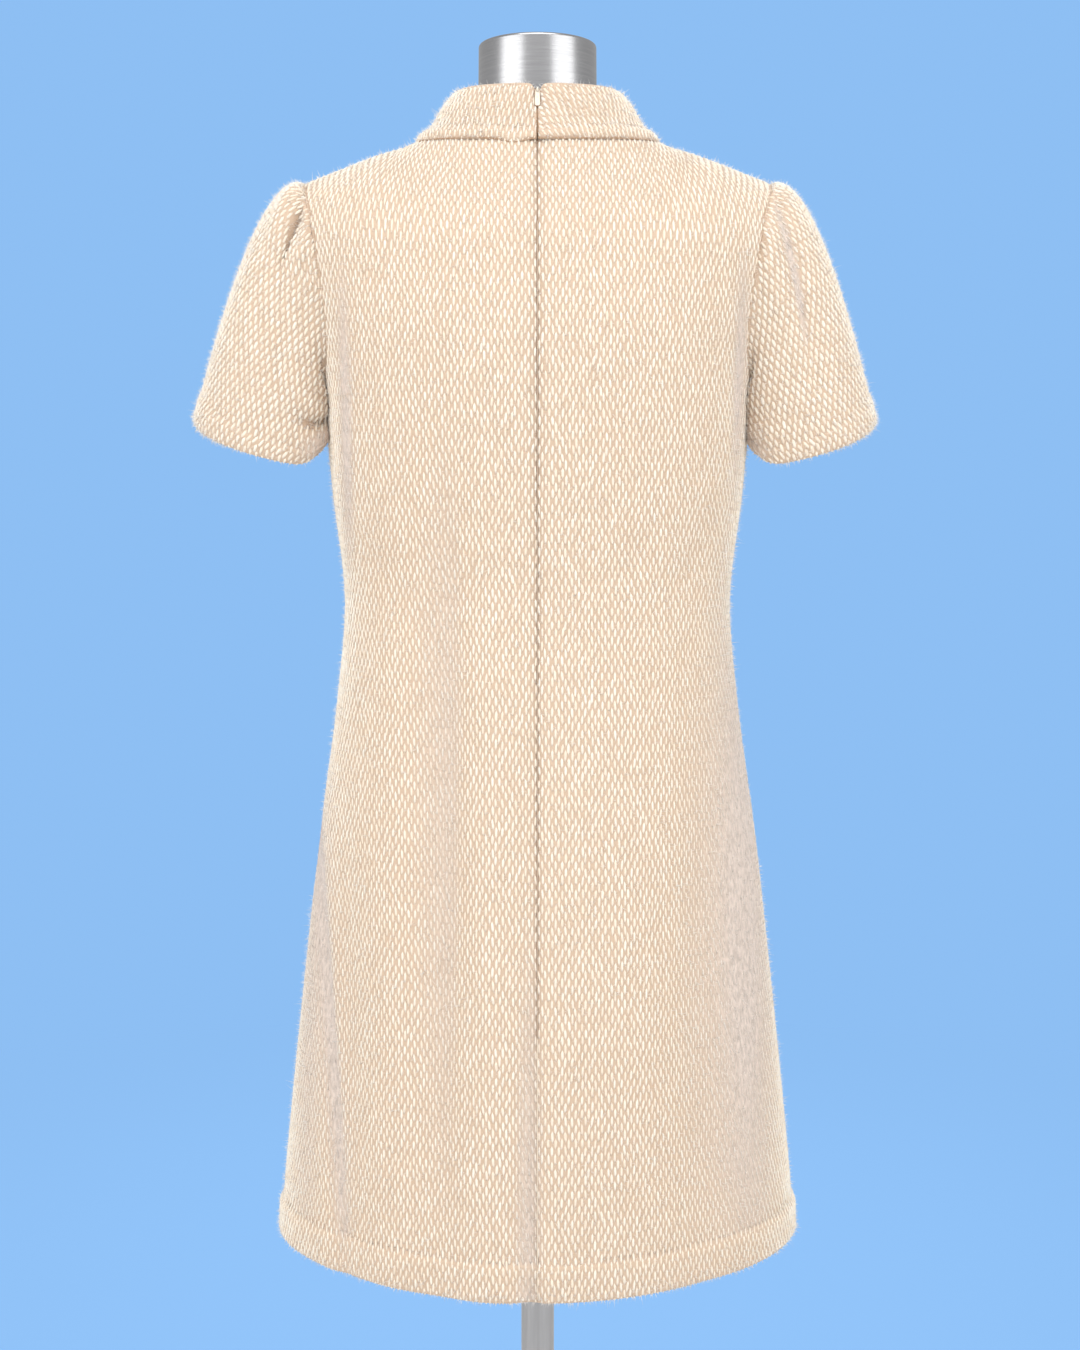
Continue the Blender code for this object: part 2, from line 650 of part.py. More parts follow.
def block(name, size, finish, round_edge):
    """A rectangular block with rounded edges."""
    mesh = bpy.data.meshes.new(name)
    shape = bmesh.new()
    bmesh.ops.create_cube(shape, size=1.0)
    bmesh.ops.scale(shape, vec=size, verts=shape.verts)
    shape.to_mesh(mesh)
    shape.free()
    piece = new_object(name, mesh, finish)
    bevel = piece.modifiers.new("edges", "BEVEL")
    bevel.width = round_edge
    bevel.segments = 2
    return piece


# Pieces of the dress

def half_columns():
    """Shares of the half width at which the columns of a back lie."""
    return np.concatenate([[0, EDGE_COLUMN], np.linspace(0, 1, HALF_COLUMNS + 1)[1:]])


def make_front():
    s = np.linspace(-1, 1, 2 * HALF_COLUMNS + 1)[None, :]
    outer, inner = body_wall(FRONT, s, row_heights()[:, None])
    return new_object("front", wall_mesh("front", outer, inner), TWEED)


def make_back(hand, name):
    s = hand * half_columns()[None, :]
    s[0, 0] = hand * 1e-7  # keeps the sign of the half that the edge belongs to
    outer, inner = body_wall(BACK, s, row_heights()[:, None])
    return new_object(name, wall_mesh(name, outer, inner), TWEED)


def make_sleeve(hand, name):
    q = armhole_shares()[None, :]
    body = np.linspace(0, 1, SLEEVE_ROWS) ** SLEEVE_CLOSENESS * (1 - CUFF_BAND - CUFF_STEP)
    r = np.concatenate([body, [1 - CUFF_BAND, 1 - CUFF_FOLD, 1]])[:, None]
    outer, inner = sleeve_wall(hand, q, r)
    return new_object(name, wall_mesh(name, outer, inner, ring=True), TWEED)


def collar_loop(angle):
    """One cross-section of the collar: up the outer face, over the rounded rim, down the inner face."""
    p = np.array(COLLAR_PLACES)
    outer = collar_face(angle, p)
    inner = outer - collar_normal(angle, p) * collar_thickness(angle, p)[..., None]
    top = collar_face(angle, np.array([1.0]))
    top_normal = collar_normal(angle, np.array([1.0]))
    thick = collar_thickness(angle, np.array([1.0]))[..., None]
    rim = np.concatenate([top - top_normal * thick * share for share in RIM_PLACES])
    return np.concatenate([outer, rim, inner[::-1]])


def make_collar():
    """Loft the collar's section from one side of the zip round the front to the other."""
    first = SLIT / RIM_BACK
    step = radians(90) / (NECK_SHARE * HALF_COLUMNS)
    even = np.arange(1, round(2 * pi / step)) * step
    ends = np.array([first, END_STEP, step / 2])
    angles = np.concatenate([ends, even, 2 * pi - ends[::-1]])
    loops = np.array([collar_loop(angle) for angle in angles])
    loops[0, :, 0] = SLIT
    loops[-1, :, 0] = -SLIT
    return new_object("collar", loft_mesh("collar", loops), TWEED)


def tape_line(x, off):
    """Points at distance x from the centre, set off behind the facets of the back and of the collar."""
    rows = row_heights()
    rows = rows[rows > ZIP_END - 0.03]
    _, inner = body_wall(BACK, np.array([[1e-7, EDGE_COLUMN]]), rows[:, None])
    normal = body_normal(BACK, np.full(rows.shape, EDGE_COLUMN / 2), rows)
    share = (x - inner[:, 0, 0]) / (inner[:, 1, 0] - inner[:, 0, 0])
    back = inner[:, 0] + share[:, None] * (inner[:, 1] - inner[:, 0]) - normal * off
    p = np.array(COLLAR_PLACES)
    angle = np.arcsin(x / (NECK_WIDTH + p * (RIM_WIDTH - NECK_WIDTH)))
    sink = collar_thickness(angle, p) + off
    stand = collar_face(angle, p) - collar_normal(angle, p) * sink[:, None]
    line = np.concatenate([back, stand])
    line[:, 0] = x
    return line


def make_zip_tape(hand, name):
    mirror = np.array([hand, 1, 1])
    places = (SEAM, TAPE_WIDTH)
    outer = np.stack([tape_line(x, TAPE_GAP) for x in places], 1) * mirror
    inner = np.stack([tape_line(x, TAPE_GAP + TAPE_THICK) for x in places], 1) * mirror
    return new_object(name, wall_mesh(name, outer, inner), TAPE)


# Pieces of the dress form

def make_torso():
    """Follow the inside of the dress with room to spare, closed by a plate at each arm and by a neck on top.

    The topmost ring is joined across from back to front along the shoulders, and its middle goes on as the
    neck.
    """
    rows = row_heights()
    h = np.concatenate([FORM_LEVELS, rows[rows > UNDERARM - 0.001]])[:, None]
    half = np.linspace(0, 1, HALF_COLUMNS + 1)[:-1]
    s = np.concatenate([-half[:0:-1], half])[None, :]
    neck = FORM_NECK_EASE * ease((h - UNDERARM) / FORM_NECK_REACH) * ease(1 - np.abs(s) / FORM_NECK_SHARE)
    sink = (CLOTH + read(FORM_EASE, "ease", h) + neck)[..., None]
    back = body_face(BACK, s, h) - body_normal(BACK, s, h) * sink
    front = (body_face(FRONT, s, h) - body_normal(FRONT, s, h) * sink)[:, ::-1]
    for grid in (back, front):
        grid[0, :, 2] = FORM_BOTTOM
        grid[-1] = grid[-2] + FORM_TOP * (grid[-1] - grid[-2])
    plates = []
    for a, b in ((back[:, -1], front[:, 0]), (front[:, -1], back[:, 0])):
        middle = (a + b) / 2
        middle[:, 0] += np.sign(middle[:, 0]) * PLATE_BULGE * np.linalg.norm(a - b, axis=-1)
        plates.append(middle[:, None])
    rings = np.concatenate([back, plates[0], front, plates[1]], 1)
    count = rings.shape[1]
    wide = s.shape[1]
    faces = []
    for row in range(len(h) - 1):
        for column in range(count):
            after = (column + 1) % count
            low, high = row * count, (row + 1) * count
            faces.append([low + column, low + after, high + after, high + column])
    faces.append(list(range(count))[::-1])
    top = (len(h) - 1) * count
    back_top = [top + i for i in range(wide)]
    front_top = [top + wide + 1 + i for i in range(wide)][::-1]
    faces.append([back_top[-1], top + wide, front_top[-1]])
    faces.append([front_top[0], top + count - 1, back_top[0]])
    neck_from = HALF_COLUMNS - 1 - HALF_COLUMNS // 2
    for i in [*range(neck_from), *range(wide - 1 - neck_from, wide - 1)]:
        faces.append([back_top[i], back_top[i + 1], front_top[i + 1], front_top[i]])
    loop = back_top[neck_from:wide - neck_from] + front_top[neck_from:wide - neck_from][::-1]
    points = rings.reshape(-1, 3)
    start = points[loop]
    angle = np.arctan2(start[:, 0], -start[:, 1])
    end_z = CAP_TOP - CAP_HEIGHT - SEAM
    end = np.stack([NECK_RADIUS * np.sin(angle), -NECK_RADIUS * np.cos(angle), 0 * angle + end_z], -1)
    for w in NECK_STEPS:
        ring = hermite(start, (end - start) * NECK_SPREAD, end, NECK_RISE, np.full(len(loop), w))
        new = list(range(len(points), len(points) + len(loop)))
        points = np.concatenate([points, ring])
        for i, j in zip(range(len(loop)), [*range(1, len(loop)), 0]):
            faces.append([loop[i], loop[j], new[j], new[i]])
        loop = new
    faces.append(loop)
    return new_object("form_torso", outward_mesh("form_torso", points, faces), JERSEY)


def turned(name, profile, finish, segments=64):
    """Turn a profile of (radius, z) points, ends on the axis, about the Z axis."""
    mesh = bpy.data.meshes.new(name)
    mesh.from_pydata([(r, 0, z) for r, z in profile], [(i, i + 1) for i in range(len(profile) - 1)], [])
    piece = new_object(name, mesh, finish)
    screw = piece.modifiers.new("turn", "SCREW")
    screw.steps = screw.render_steps = segments
    screw.use_merge_vertices = True
    screw.merge_threshold = 0.00001
    return piece


def make_cap():
    low = CAP_TOP - CAP_HEIGHT
    corner = [
        (CAP_TOP_RADIUS - CAP_ROUND * (1 - cos(a)), CAP_TOP - CAP_ROUND * (1 - sin(a)))
        for a in (radians(90), radians(60), radians(30), 0)
    ]
    return turned("neck_cap", [(0, CAP_TOP), *corner, (CAP_RADIUS, low), (0, low)], STEEL, 48)


def make_pole():
    top = FORM_BOTTOM - SEAM
    low = BASE_THICK + SEAM
    return turned("pole", [(0, top), (POLE_RADIUS, top), (POLE_RADIUS, low), (0, low)], STEEL, 32)


def make_base():
    corner = [
        (BASE_RADIUS - BASE_ROUND * (1 - cos(a)), BASE_THICK - BASE_ROUND * (1 - sin(a)))
        for a in (radians(90), radians(45), 0)
    ]
    return turned("base_plate", [(0, BASE_THICK), *corner, (BASE_RADIUS, 0), (0, 0)], STEEL)


# Zip slider and pull

def collar_slope():
    """Middle of the pull's hinge at the centre back, and the angle by which the collar leans in there."""
    low, high = collar_face(np.array([SLIT / RIM_BACK]), np.array(PULL_PLACES))
    lean = atan2(high[1] - low[1], high[2] - low[2])
    y = low[1] + (HINGE_Z - low[2]) * tan(lean)
    return Vector((0, y - HINGE_OUT * cos(lean), HINGE_Z + HINGE_OUT * sin(lean))), lean


def standing(lean):
    """Turn a flat shape drawn in X and Y upright, so that its Y leans in by the angle and its Z points out."""
    return Matrix.Rotation(radians(90) - lean, 4, "X")


def plate(name, outline, hole, thick):
    """A flat plate with a hole, drawn in X and Y."""
    curve = bpy.data.curves.new(name, "CURVE")
    curve.dimensions = "2D"
    curve.fill_mode = "BOTH"
    curve.extrude = thick / 2
    for line in (outline, hole):
        spline = curve.splines.new("POLY")
        spline.points.add(len(line) - 1)
        for point, (x, y) in zip(spline.points, line):
            point.co = (x, y, 0, 1)
        spline.use_cyclic_u = True
    return curve


def arc(centre, radius, first, last, steps):
    """Points of an arc between two angles, in degrees."""
    angles = np.radians(np.linspace(first, last, steps))
    return [(centre[0] + radius * cos(a), centre[1] + radius * sin(a)) for a in angles]


def make_slider():
    """A body behind the tapes, joined to a flat lug that reaches out through the slit and holds the pull."""
    hinge, lean = collar_slope()
    face = HINGE_OUT + CLOTH + TAPE_GAP + TAPE_THICK + SLIDER_GAP
    size = (SLIDER_WIDTH, SLIDER_TOP - SLIDER_LOW, SLIDER_THICK)
    middle = Vector((0, (SLIDER_TOP + SLIDER_LOW) / 2, -face - SLIDER_THICK / 2))
    body = block("zip_slider", size, ENAMEL, SLIDER_ROUND)
    body.matrix_world = Matrix.Translation(hinge) @ standing(lean) @ Matrix.Translation(middle)
    root = -face - SLIDER_THICK / 2
    outline = [(root, -LUG_RADIUS), *arc((0, 0), LUG_RADIUS, -90, 90, 9), (root, LUG_RADIUS)]
    drawn = bpy.data.objects.new("lug", plate("lug", outline, arc((0, 0), LUG_HOLE, 0, 345, 24), LUG_THICK))
    cutter_collection.objects.link(drawn)
    depsgraph = bpy.context.evaluated_depsgraph_get()
    mesh = bpy.data.meshes.new_from_object(drawn.evaluated_get(depsgraph))
    bpy.data.objects.remove(drawn)
    shape = bmesh.new()
    shape.from_mesh(mesh)
    bmesh.ops.remove_doubles(shape, verts=shape.verts, dist=1e-6)
    bmesh.ops.recalc_face_normals(shape, faces=shape.faces)
    shape.to_mesh(mesh)
    shape.free()
    lug = bpy.data.objects.new("slider_lug", mesh)
    cutter_collection.objects.link(lug)
    lug.matrix_world = Matrix.Translation(hinge) @ standing(lean) @ Matrix.Rotation(radians(-90), 4, "Y")
    lug.hide_render = True
    lug.display_type = "WIRE"
    join = body.modifiers.new("lug", "BOOLEAN")
    join.operation = "UNION"
    join.object = lug


def make_pull():
    """A flat tab with a window at its top, so that a bar is left there which sits in the lug's hole.

    Its origin is the hinge's middle, and it leans on the collar with its tip.
    """
    hinge, lean = collar_slope()
    bar, half, low = PULL_THICK / 2, PULL_WIDTH / 2, -PULL_LENGTH
    foot = half - PULL_CORNER
    outline = [
        (PULL_TOP_WIDTH / 2, bar),
        (-PULL_TOP_WIDTH / 2, bar),
        *arc((-foot, low + PULL_CORNER), PULL_CORNER, 180, 270, 5),
        *arc((foot, low + PULL_CORNER), PULL_CORNER, 270, 360, 5),
    ]
    end = WINDOW_WIDTH / 2
    window = [(-end, -bar), (end, -bar), *arc((0, end - WINDOW_LENGTH), end, 0, -180, 7)]
    curve = plate("zip_pull", outline, window, PULL_THICK)
    curve.materials.append(finish_material(ENAMEL))
    pull = bpy.data.objects.new("zip_pull", curve)
    part_collection.objects.link(pull)
    pull.matrix_world = Matrix.Translation(hinge) @ standing(lean - PULL_TILT)


for leftover in list(bpy.data.objects):
    bpy.data.objects.remove(leftover, do_unlink=True)
part_collection = bpy.data.collections.new("shift_dress_on_form")
cutter_collection = bpy.data.collections.new("cutters")
for collection in (part_collection, cutter_collection):
    bpy.context.scene.collection.children.link(collection)

make_front()
make_back(LEFT, "back_left")
make_back(RIGHT, "back_right")
make_sleeve(LEFT, "sleeve_left")
make_sleeve(RIGHT, "sleeve_right")
make_collar()
make_zip_tape(LEFT, "zip_tape_left")
make_zip_tape(RIGHT, "zip_tape_right")
make_slider()
make_pull()
make_torso()
make_cap()
make_pole()
make_base()
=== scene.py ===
"""Shift dress of wool tweed on a dress form: an add-on with one operator for each group of pieces."""

import json
from collections import namedtuple
from math import cos, pi, radians, sin

import bmesh
import bpy
import numpy as np
from bpy.props import FloatProperty, FloatVectorProperty, IntProperty, PointerProperty
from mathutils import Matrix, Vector


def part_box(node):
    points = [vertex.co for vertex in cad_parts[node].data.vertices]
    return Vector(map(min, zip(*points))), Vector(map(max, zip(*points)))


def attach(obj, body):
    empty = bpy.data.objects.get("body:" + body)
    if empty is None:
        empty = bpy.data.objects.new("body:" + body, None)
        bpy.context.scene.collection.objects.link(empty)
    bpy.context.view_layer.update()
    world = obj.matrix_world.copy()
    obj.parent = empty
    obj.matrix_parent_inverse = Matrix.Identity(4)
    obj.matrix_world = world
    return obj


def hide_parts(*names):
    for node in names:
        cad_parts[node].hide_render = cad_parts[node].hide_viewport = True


bl_info = {
    "name": "Tweed Shift Dress",
    "version": (1, 0, 0),
    "blender": (4, 5, 0),
    "location": "View3D > Sidebar > Shift Dress",
    "description": "Builds a tweed shift dress with its weave, nap and zip on a dress form",
    "category": "Add Mesh",
}

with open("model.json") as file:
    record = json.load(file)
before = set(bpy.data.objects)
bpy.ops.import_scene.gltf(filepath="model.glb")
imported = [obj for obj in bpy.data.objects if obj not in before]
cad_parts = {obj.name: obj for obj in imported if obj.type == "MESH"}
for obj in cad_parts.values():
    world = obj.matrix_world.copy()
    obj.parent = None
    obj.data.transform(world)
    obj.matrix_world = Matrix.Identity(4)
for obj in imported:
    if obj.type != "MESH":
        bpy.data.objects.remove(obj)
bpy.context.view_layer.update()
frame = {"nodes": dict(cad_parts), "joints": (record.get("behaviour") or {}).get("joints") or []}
ROOT = "root"

# Sizes of the solids in metres, which the fine surfaces follow

CLOTH = 0.0024
SEAM = 0.0003
BACK, FRONT = -1, 1
LEFT, RIGHT = -1, 1
HEM = 0.512
HEM_BAND = 0.027
HEM_STEP = 0.005
UNDERARM = 1.208
YOKE = 1.325
CREST = YOKE + 0.080
ZIP_END = 1.122
BAND_PROUD = 0.0014
NECK_WIDTH = 0.0985
NECK_BACK = 0.068
NECK_FRONT = 0.080
NECK_Z = 1.4175
NECK_DROP_BACK = 0.007
NECK_DROP_FRONT = 0.034
SHOULDER = (0.1885, 0.006, 1.3845)
NECK_SHARE = 0.5
RIM_WIDTH = 0.0640
RIM_BACK = 0.0620
RIM_FRONT = 0.0690
RIM_Z_SIDE = 1.4600
RIM_Z_BACK = 1.4545
RIM_Z_FRONT = 1.4330
COLLAR_THICK = 0.0054
COLLAR_SEAM_THICK = 0.0032
COLLAR_SHAPE = 0.0018
COLLAR_ROLL = 0.0014
ROLL_PLACE = 0.13
ROLL_WIDTH = 0.08
ROLL_SIDES = 1.8
COLLAR_LIFT = 0.0005
COLLAR_FULL = 0.35
FACING_REACH = radians(16)
LIP_OUT = 0.0019  # the collar's lower edge stands off the neck seam and turns under
LIP_PLACE = 0.05
LIP_WIDTH = 0.09
LIP_LEVEL = 0.8  # the lip is lost in the roll at the sides
LIP_SAG = 0.0030  # beside the zip it sags a little
LIP_SAG_PLACE = radians(11)
LIP_SAG_WIDTH = radians(6)
NOTCH_DEPTH = 0.0062
NOTCH_REACH = radians(6)
SLIT_EASE = 0.020
CUFF_X = {LEFT: 0.2279, RIGHT: 0.2258}
CUFF_Z = 1.1827
CUFF_WIDTH = {LEFT: 0.0527, RIGHT: 0.0506}
CUFF_DEPTH = 0.0500
CUFF_POWER = 2.3
CUFF_RISE_OUT = 0.31
CUFF_RISE_FRONT = 0.30
CUFF_LIFT = {LEFT: 0.034, RIGHT: 0.031}
CUFF_LIFT_FROM = 0.52
CUFF_LIFT_POWER = 2.3
ARMHOLE_EASE = 1.35
CUFF_BAND = 0.09
CUFF_STEP = 0.03
TUCK_RISE = 0.10
SLEEVE_END_PULL = 0.80

Section = namedtuple("Section", "z half_width back front power")
BODY = (
    Section(0.512, 0.2190, 0.1635, 0.1580, 1.80),
    Section(0.610, 0.2092, 0.1535, 0.1505, 1.84),
    Section(0.740, 0.1950, 0.1395, 0.1395, 1.92),
    Section(0.860, 0.1809, 0.1245, 0.1275, 2.03),
    Section(0.970, 0.1653, 0.1127, 0.1180, 2.15),
    Section(1.047, 0.1586, 0.1067, 0.1137, 2.28),
    Section(1.140, 0.1684, 0.1120, 0.1238, 2.38),
    Section(1.208, 0.1735, 0.1165, 0.1290, 2.45),
    Section(1.265, 0.1750, 0.1180, 0.1260, 2.50),
    Section(1.325, 0.1750, 0.1120, 0.1130, 2.50),
)
ArmholePoint = namedtuple("ArmholePoint", "z back_x back_y front_x front_y")
ARMHOLE = (
    ArmholePoint(1.208, 0.1735, 0.0000, 0.1735, 0.0000),
    ArmholePoint(1.213, 0.1728, 0.0200, 0.1728, 0.0200),
    ArmholePoint(1.224, 0.1706, 0.0360, 0.1707, 0.0370),
    ArmholePoint(1.243, 0.1679, 0.0485, 0.1678, 0.0500),
    ArmholePoint(1.270, 0.1676, 0.0580, 0.1662, 0.0570),
    ArmholePoint(1.300, 0.1705, 0.0615, 0.1678, 0.0560),
    ArmholePoint(1.325, 0.1742, 0.0600, 0.1705, 0.0510),
)
CrestLean = namedtuple("CrestLean", "place inward over up")
CREST_LEANS = (
    CrestLean(0.00, 0.00, 0.32, 0.95),
    CrestLean(0.25, 0.30, 0.50, 0.80),
    CrestLean(0.50, 0.62, 0.74, 0.25),
    CrestLean(0.66, 0.15, 1.00, 0.00),
    CrestLean(1.00, 0.00, 1.00, 0.00),
)
CREST_PULL = 1.10
Fold = namedtuple("Fold", "side x_top z_top x_low z_low width depth")
FOLDS = (
    Fold(BACK, -0.080, 1.330, -0.086, 0.440, 0.022, 0.0060),
    Fold(BACK, -0.036, 1.200, -0.058, 0.200, 0.026, -0.0036),
    Fold(BACK, -0.160, 0.960, -0.142, 0.400, 0.013, 0.0040),
    Fold(BACK, 0.128, 1.100, 0.136, 0.380, 0.026, 0.0055),
    Fold(BACK, 0.062, 1.080, 0.064, 0.420, 0.034, -0.0024),
    Fold(FRONT, -0.100, 1.130, -0.112, 0.250, 0.024, 0.0050),
    Fold(FRONT, -0.045, 1.000, -0.056, 0.250, 0.028, -0.0035),
    Fold(FRONT, 0.012, 0.900, 0.008, 0.250, 0.022, 0.0040),
    Fold(FRONT, 0.106, 1.130, 0.122, 0.250, 0.026, 0.0050),
    Fold(FRONT, 0.160, 0.950, 0.172, 0.250, 0.020, -0.0030),
)
GROOVE_DEPTH = 0.0016
GROOVE_WIDTH = 0.0075
FOLD_FADE = 1.5
EDGE_FADE = 8
SLIT_FADE = 4  # power with which the slit's gap fades across a back
Tuck = namedtuple("Tuck", "place reach width depth lean")
TUCKS = {
    LEFT: (
        Tuck(0.418, 0.36, 0.020, 0.0045, -0.074),
        Tuck(0.466, 0.26, 0.018, -0.0030, -0.040),
        Tuck(0.580, 0.34, 0.022, 0.0060, 0.03),
    ),
    RIGHT: (
        Tuck(0.446, 0.60, 0.026, 0.0026, -0.165),
        Tuck(0.350, 0.40, 0.030, -0.0030, -0.080),
        Tuck(0.570, 0.36, 0.022, 0.0060, 0.04),
    ),
}
SleeveTurn = namedtuple("SleeveTurn", "q turn pull")
SleeveCrease = namedtuple("SleeveCrease", "q_from r_from q_to r_to width lap_width depth lap bow taper nap",
                          defaults=(0.0, 0.0, 0.0, 0.0))
SLEEVE_CREASES = {
    LEFT: (
        SleeveCrease(0.412, 0.030, 0.366, 0.290, 0.0082, 0.0056, 0.0064, 0.0022, 0.008, 0.50, -0.8),
        SleeveCrease(0.385, 0.020, 0.330, 0.240, 0.0120, 0.0120, -0.0016),
        SleeveCrease(0.452, 0.010, 0.405, 0.300, 0.0180, 0.0200, -0.0026),
        SleeveCrease(0.300, 0.340, 0.225, 0.720, 0.0220, 0.0220, 0.0016),
        SleeveCrease(0.560, 0.010, 0.610, 0.300, 0.0080, 0.0140, 0.0034),
        SleeveCrease(0.700, 0.200, 0.760, 0.700, 0.0200, 0.0200, 0.0015),
    ),
    RIGHT: (
        SleeveCrease(0.430, 0.020, 0.300, 0.540, 0.0200, 0.0140, 0.0005, nap=1.00),
        SleeveCrease(0.400, -0.080, 0.322, 0.300, 0.0160, 0.0140, -0.0018),
        SleeveCrease(0.350, 0.330, 0.290, 0.760, 0.0240, 0.0240, 0.0018),
        SleeveCrease(0.575, 0.010, 0.620, 0.330, 0.0090, 0.0130, 0.0030),
        SleeveCrease(0.720, 0.220, 0.745, 0.690, 0.0200, 0.0200, 0.0013),
    ),
}
CREASE_NAP_SHADE_WIDTH = 0.014
CuffFold = namedtuple("CuffFold", "q r reach slope width depth nap")
CUFF_FOLDS = {
    LEFT: (
        CuffFold(0.125, 0.690, 0.062, 0.00, 0.052, 0.0056, -0.70),
        CuffFold(0.130, 0.590, 0.070, 0.00, 0.060, -0.0018, 0.0),
        CuffFold(0.095, 0.860, 0.070, 0.00, 0.085, -0.0030, 0.3),
        CuffFold(0.930, 0.840, 0.050, -0.30, 0.022, 0.0030, 0.1),
    ),
    RIGHT: (
        CuffFold(0.110, 0.780, 0.060, 0.00, 0.100, -0.0022, 0.0),
        CuffFold(0.920, 0.870, 0.055, -0.20, 0.020, 0.0028, 0.1),
    ),
}
CORNER_NAP_SHADE = 0.75  # the nap hides the weave at the cuff's corner beside the body, and the corner is painted with the troughs' shade
CORNER_NAP_SHADE_WIDTH = 0.05
SLEEVE_TO_BODY = 0.0140  # the sleeve leans on the side of the dress
SLEEVE_TO_BODY_WIDTH = 0.16
SLEEVE_REST = 0.0002
SLEEVE_COLUMNS = 156
SLEEVE_TURNS = (
    SleeveTurn(0.00, 88.0, 0.55),
    SleeveTurn(0.10, 62.0, 0.50),
    SleeveTurn(0.25, 36.0, 0.45),
    SleeveTurn(0.40, 50.0, 0.50),
    SleeveTurn(0.50, 46.0, 0.54),
    SleeveTurn(0.60, 50.0, 0.50),
    SleeveTurn(0.75, 36.0, 0.45),
    SleeveTurn(0.90, 62.0, 0.50),
    SleeveTurn(1.00, 88.0, 0.55),
)

# Fine folds that only the surface has: a depth under zero is a ridge
CREASES = (
    Fold(BACK, -0.170, 1.330, -0.163, 1.060, 0.010, 0.0022),
    Fold(BACK, -0.150, 1.120, -0.085, 1.010, 0.012, 0.0016),
    Fold(BACK, 0.160, 1.160, 0.092, 1.020, 0.012, 0.0014),
    Fold(BACK, 0.168, 1.330, 0.162, 1.080, 0.010, 0.0020),
    Fold(BACK, 0.100, 1.130, 0.060, 1.060, 0.010, 0.0012),
    Fold(BACK, 0.112, 0.830, 0.066, 0.760, 0.010, 0.0010),
    Fold(BACK, -0.066, 1.280, -0.070, 0.380, 0.013, 0.0030),
    Fold(BACK, -0.030, 1.240, -0.036, 0.360, 0.014, -0.0022),
    Fold(BACK, -0.118, 1.060, -0.112, 0.420, 0.018, -0.0020),
    Fold(BACK, -0.192, 0.970, -0.146, 0.400, 0.0050, 0.0056),
    Fold(BACK, -0.003, 1.380, -0.004, 0.640, 0.0045, 0.0022),
    Fold(BACK, -0.007, 0.860, -0.007, 0.240, 0.0080, 0.0042),
    Fold(BACK, 0.004, 0.820, 0.004, 0.300, 0.0040, -0.0009),
    Fold(BACK, 0.126, 0.640, 0.186, 0.560, 0.012, 0.0020),
    Fold(FRONT, -0.150, 1.210, -0.070, 1.150, 0.014, 0.0020),
    Fold(FRONT, 0.152, 1.205, 0.078, 1.140, 0.013, 0.0017),
    Fold(FRONT, -0.140, 1.080, -0.090, 1.010, 0.012, 0.0014),
    Fold(FRONT, 0.150, 1.070, 0.100, 1.015, 0.011, 0.0016),
    Fold(FRONT, 0.050, 0.860, 0.056, 0.420, 0.014, 0.0022),
)
# Bands where the nap is raised and hides the weave, painted greyer as the shade and sheen of cloth that turns
# away or sinks in a groove: their depth is that share
NAP_AND_SHADE_BANDS = (
    Fold(BACK, -0.152, 1.345, -0.151, 1.040, 0.0055, 1.00),
    Fold(BACK, 0.161, 1.345, 0.160, 1.120, 0.0060, 0.90),
    Fold(BACK, -0.178, 1.200, -0.194, 0.380, 0.0150, 0.60),
    Fold(BACK, -0.192, 0.980, -0.146, 0.390, 0.0052, 0.80),
    Fold(BACK, 0.160, 1.200, 0.178, 0.380, 0.0240, 0.96),
    Fold(BACK, -0.008, 0.860, -0.008, 0.240, 0.0100, 0.50),
    Fold(BACK, -0.008, 0.541, -0.008, 0.480, 0.0090, 2.20),
    Fold(BACK, -0.067, 1.260, -0.071, 0.420, 0.0110, 0.16),
    Fold(FRONT, 0.172, 1.200, 0.190, 0.380, 0.0180, 0.80),
    Fold(FRONT, -0.170, 1.200, -0.184, 0.380, 0.0200, 0.90),
    Fold(FRONT, 0.010, 0.900, 0.008, 0.300, 0.0120, 0.50),
)
BARE_FROM, BARE_TO = 0.60, 1.02  # shares of nap between which the floats are lost
PLEAT_BARE = -0.45  # under this the floats are left out, so the bare tan ground paints the shade deep in a pleat
HEM_SINK = 0.0004  # the hem's hidden stitches draw the cloth in above the band
HEM_SINK_WIDTH = 0.006
HEM_RIDGE = 0.0014  # upper edge of the turned-up band
HEM_RIDGE_WIDTH = 0.0024
HEM_RIDGE_FALL = 0.0140
HEM_KEEPS = 0.8  # the hem's band keeps this share of its weave clear of the raised nap and its painted shade
HOLLOW_DEPTH = 0.0220  # a trough this deep shows only its nap, in the full painted shade of a trough
SEAM_SINK = 0.0006
SEAM_SINK_WIDTH = 0.0022
SEAM_BELOW = -0.00055
ZIP_PITCH = 0.0016
ZIP_BAR = (0.0016, 0.0005, 0.0009)
ZIP_BELOW = 0.0009
COLLAR_HEIGHT = 0.045
SEAM_COLUMNS = (0.974, 0.982, 0.989, 0.995, 1.0)  # finer columns beside a seam
CLOSED = 0.00004  # half the gap left along a sewn seam
SLIT_LIPS = 0.00018  # half the slit where the cloth closes over the zip
COLLAR_LIPS = 0.00050  # half the slit between the collar's ends
LIPS_REACH = 0.012  # below the neck seam, over which the slit narrows to that

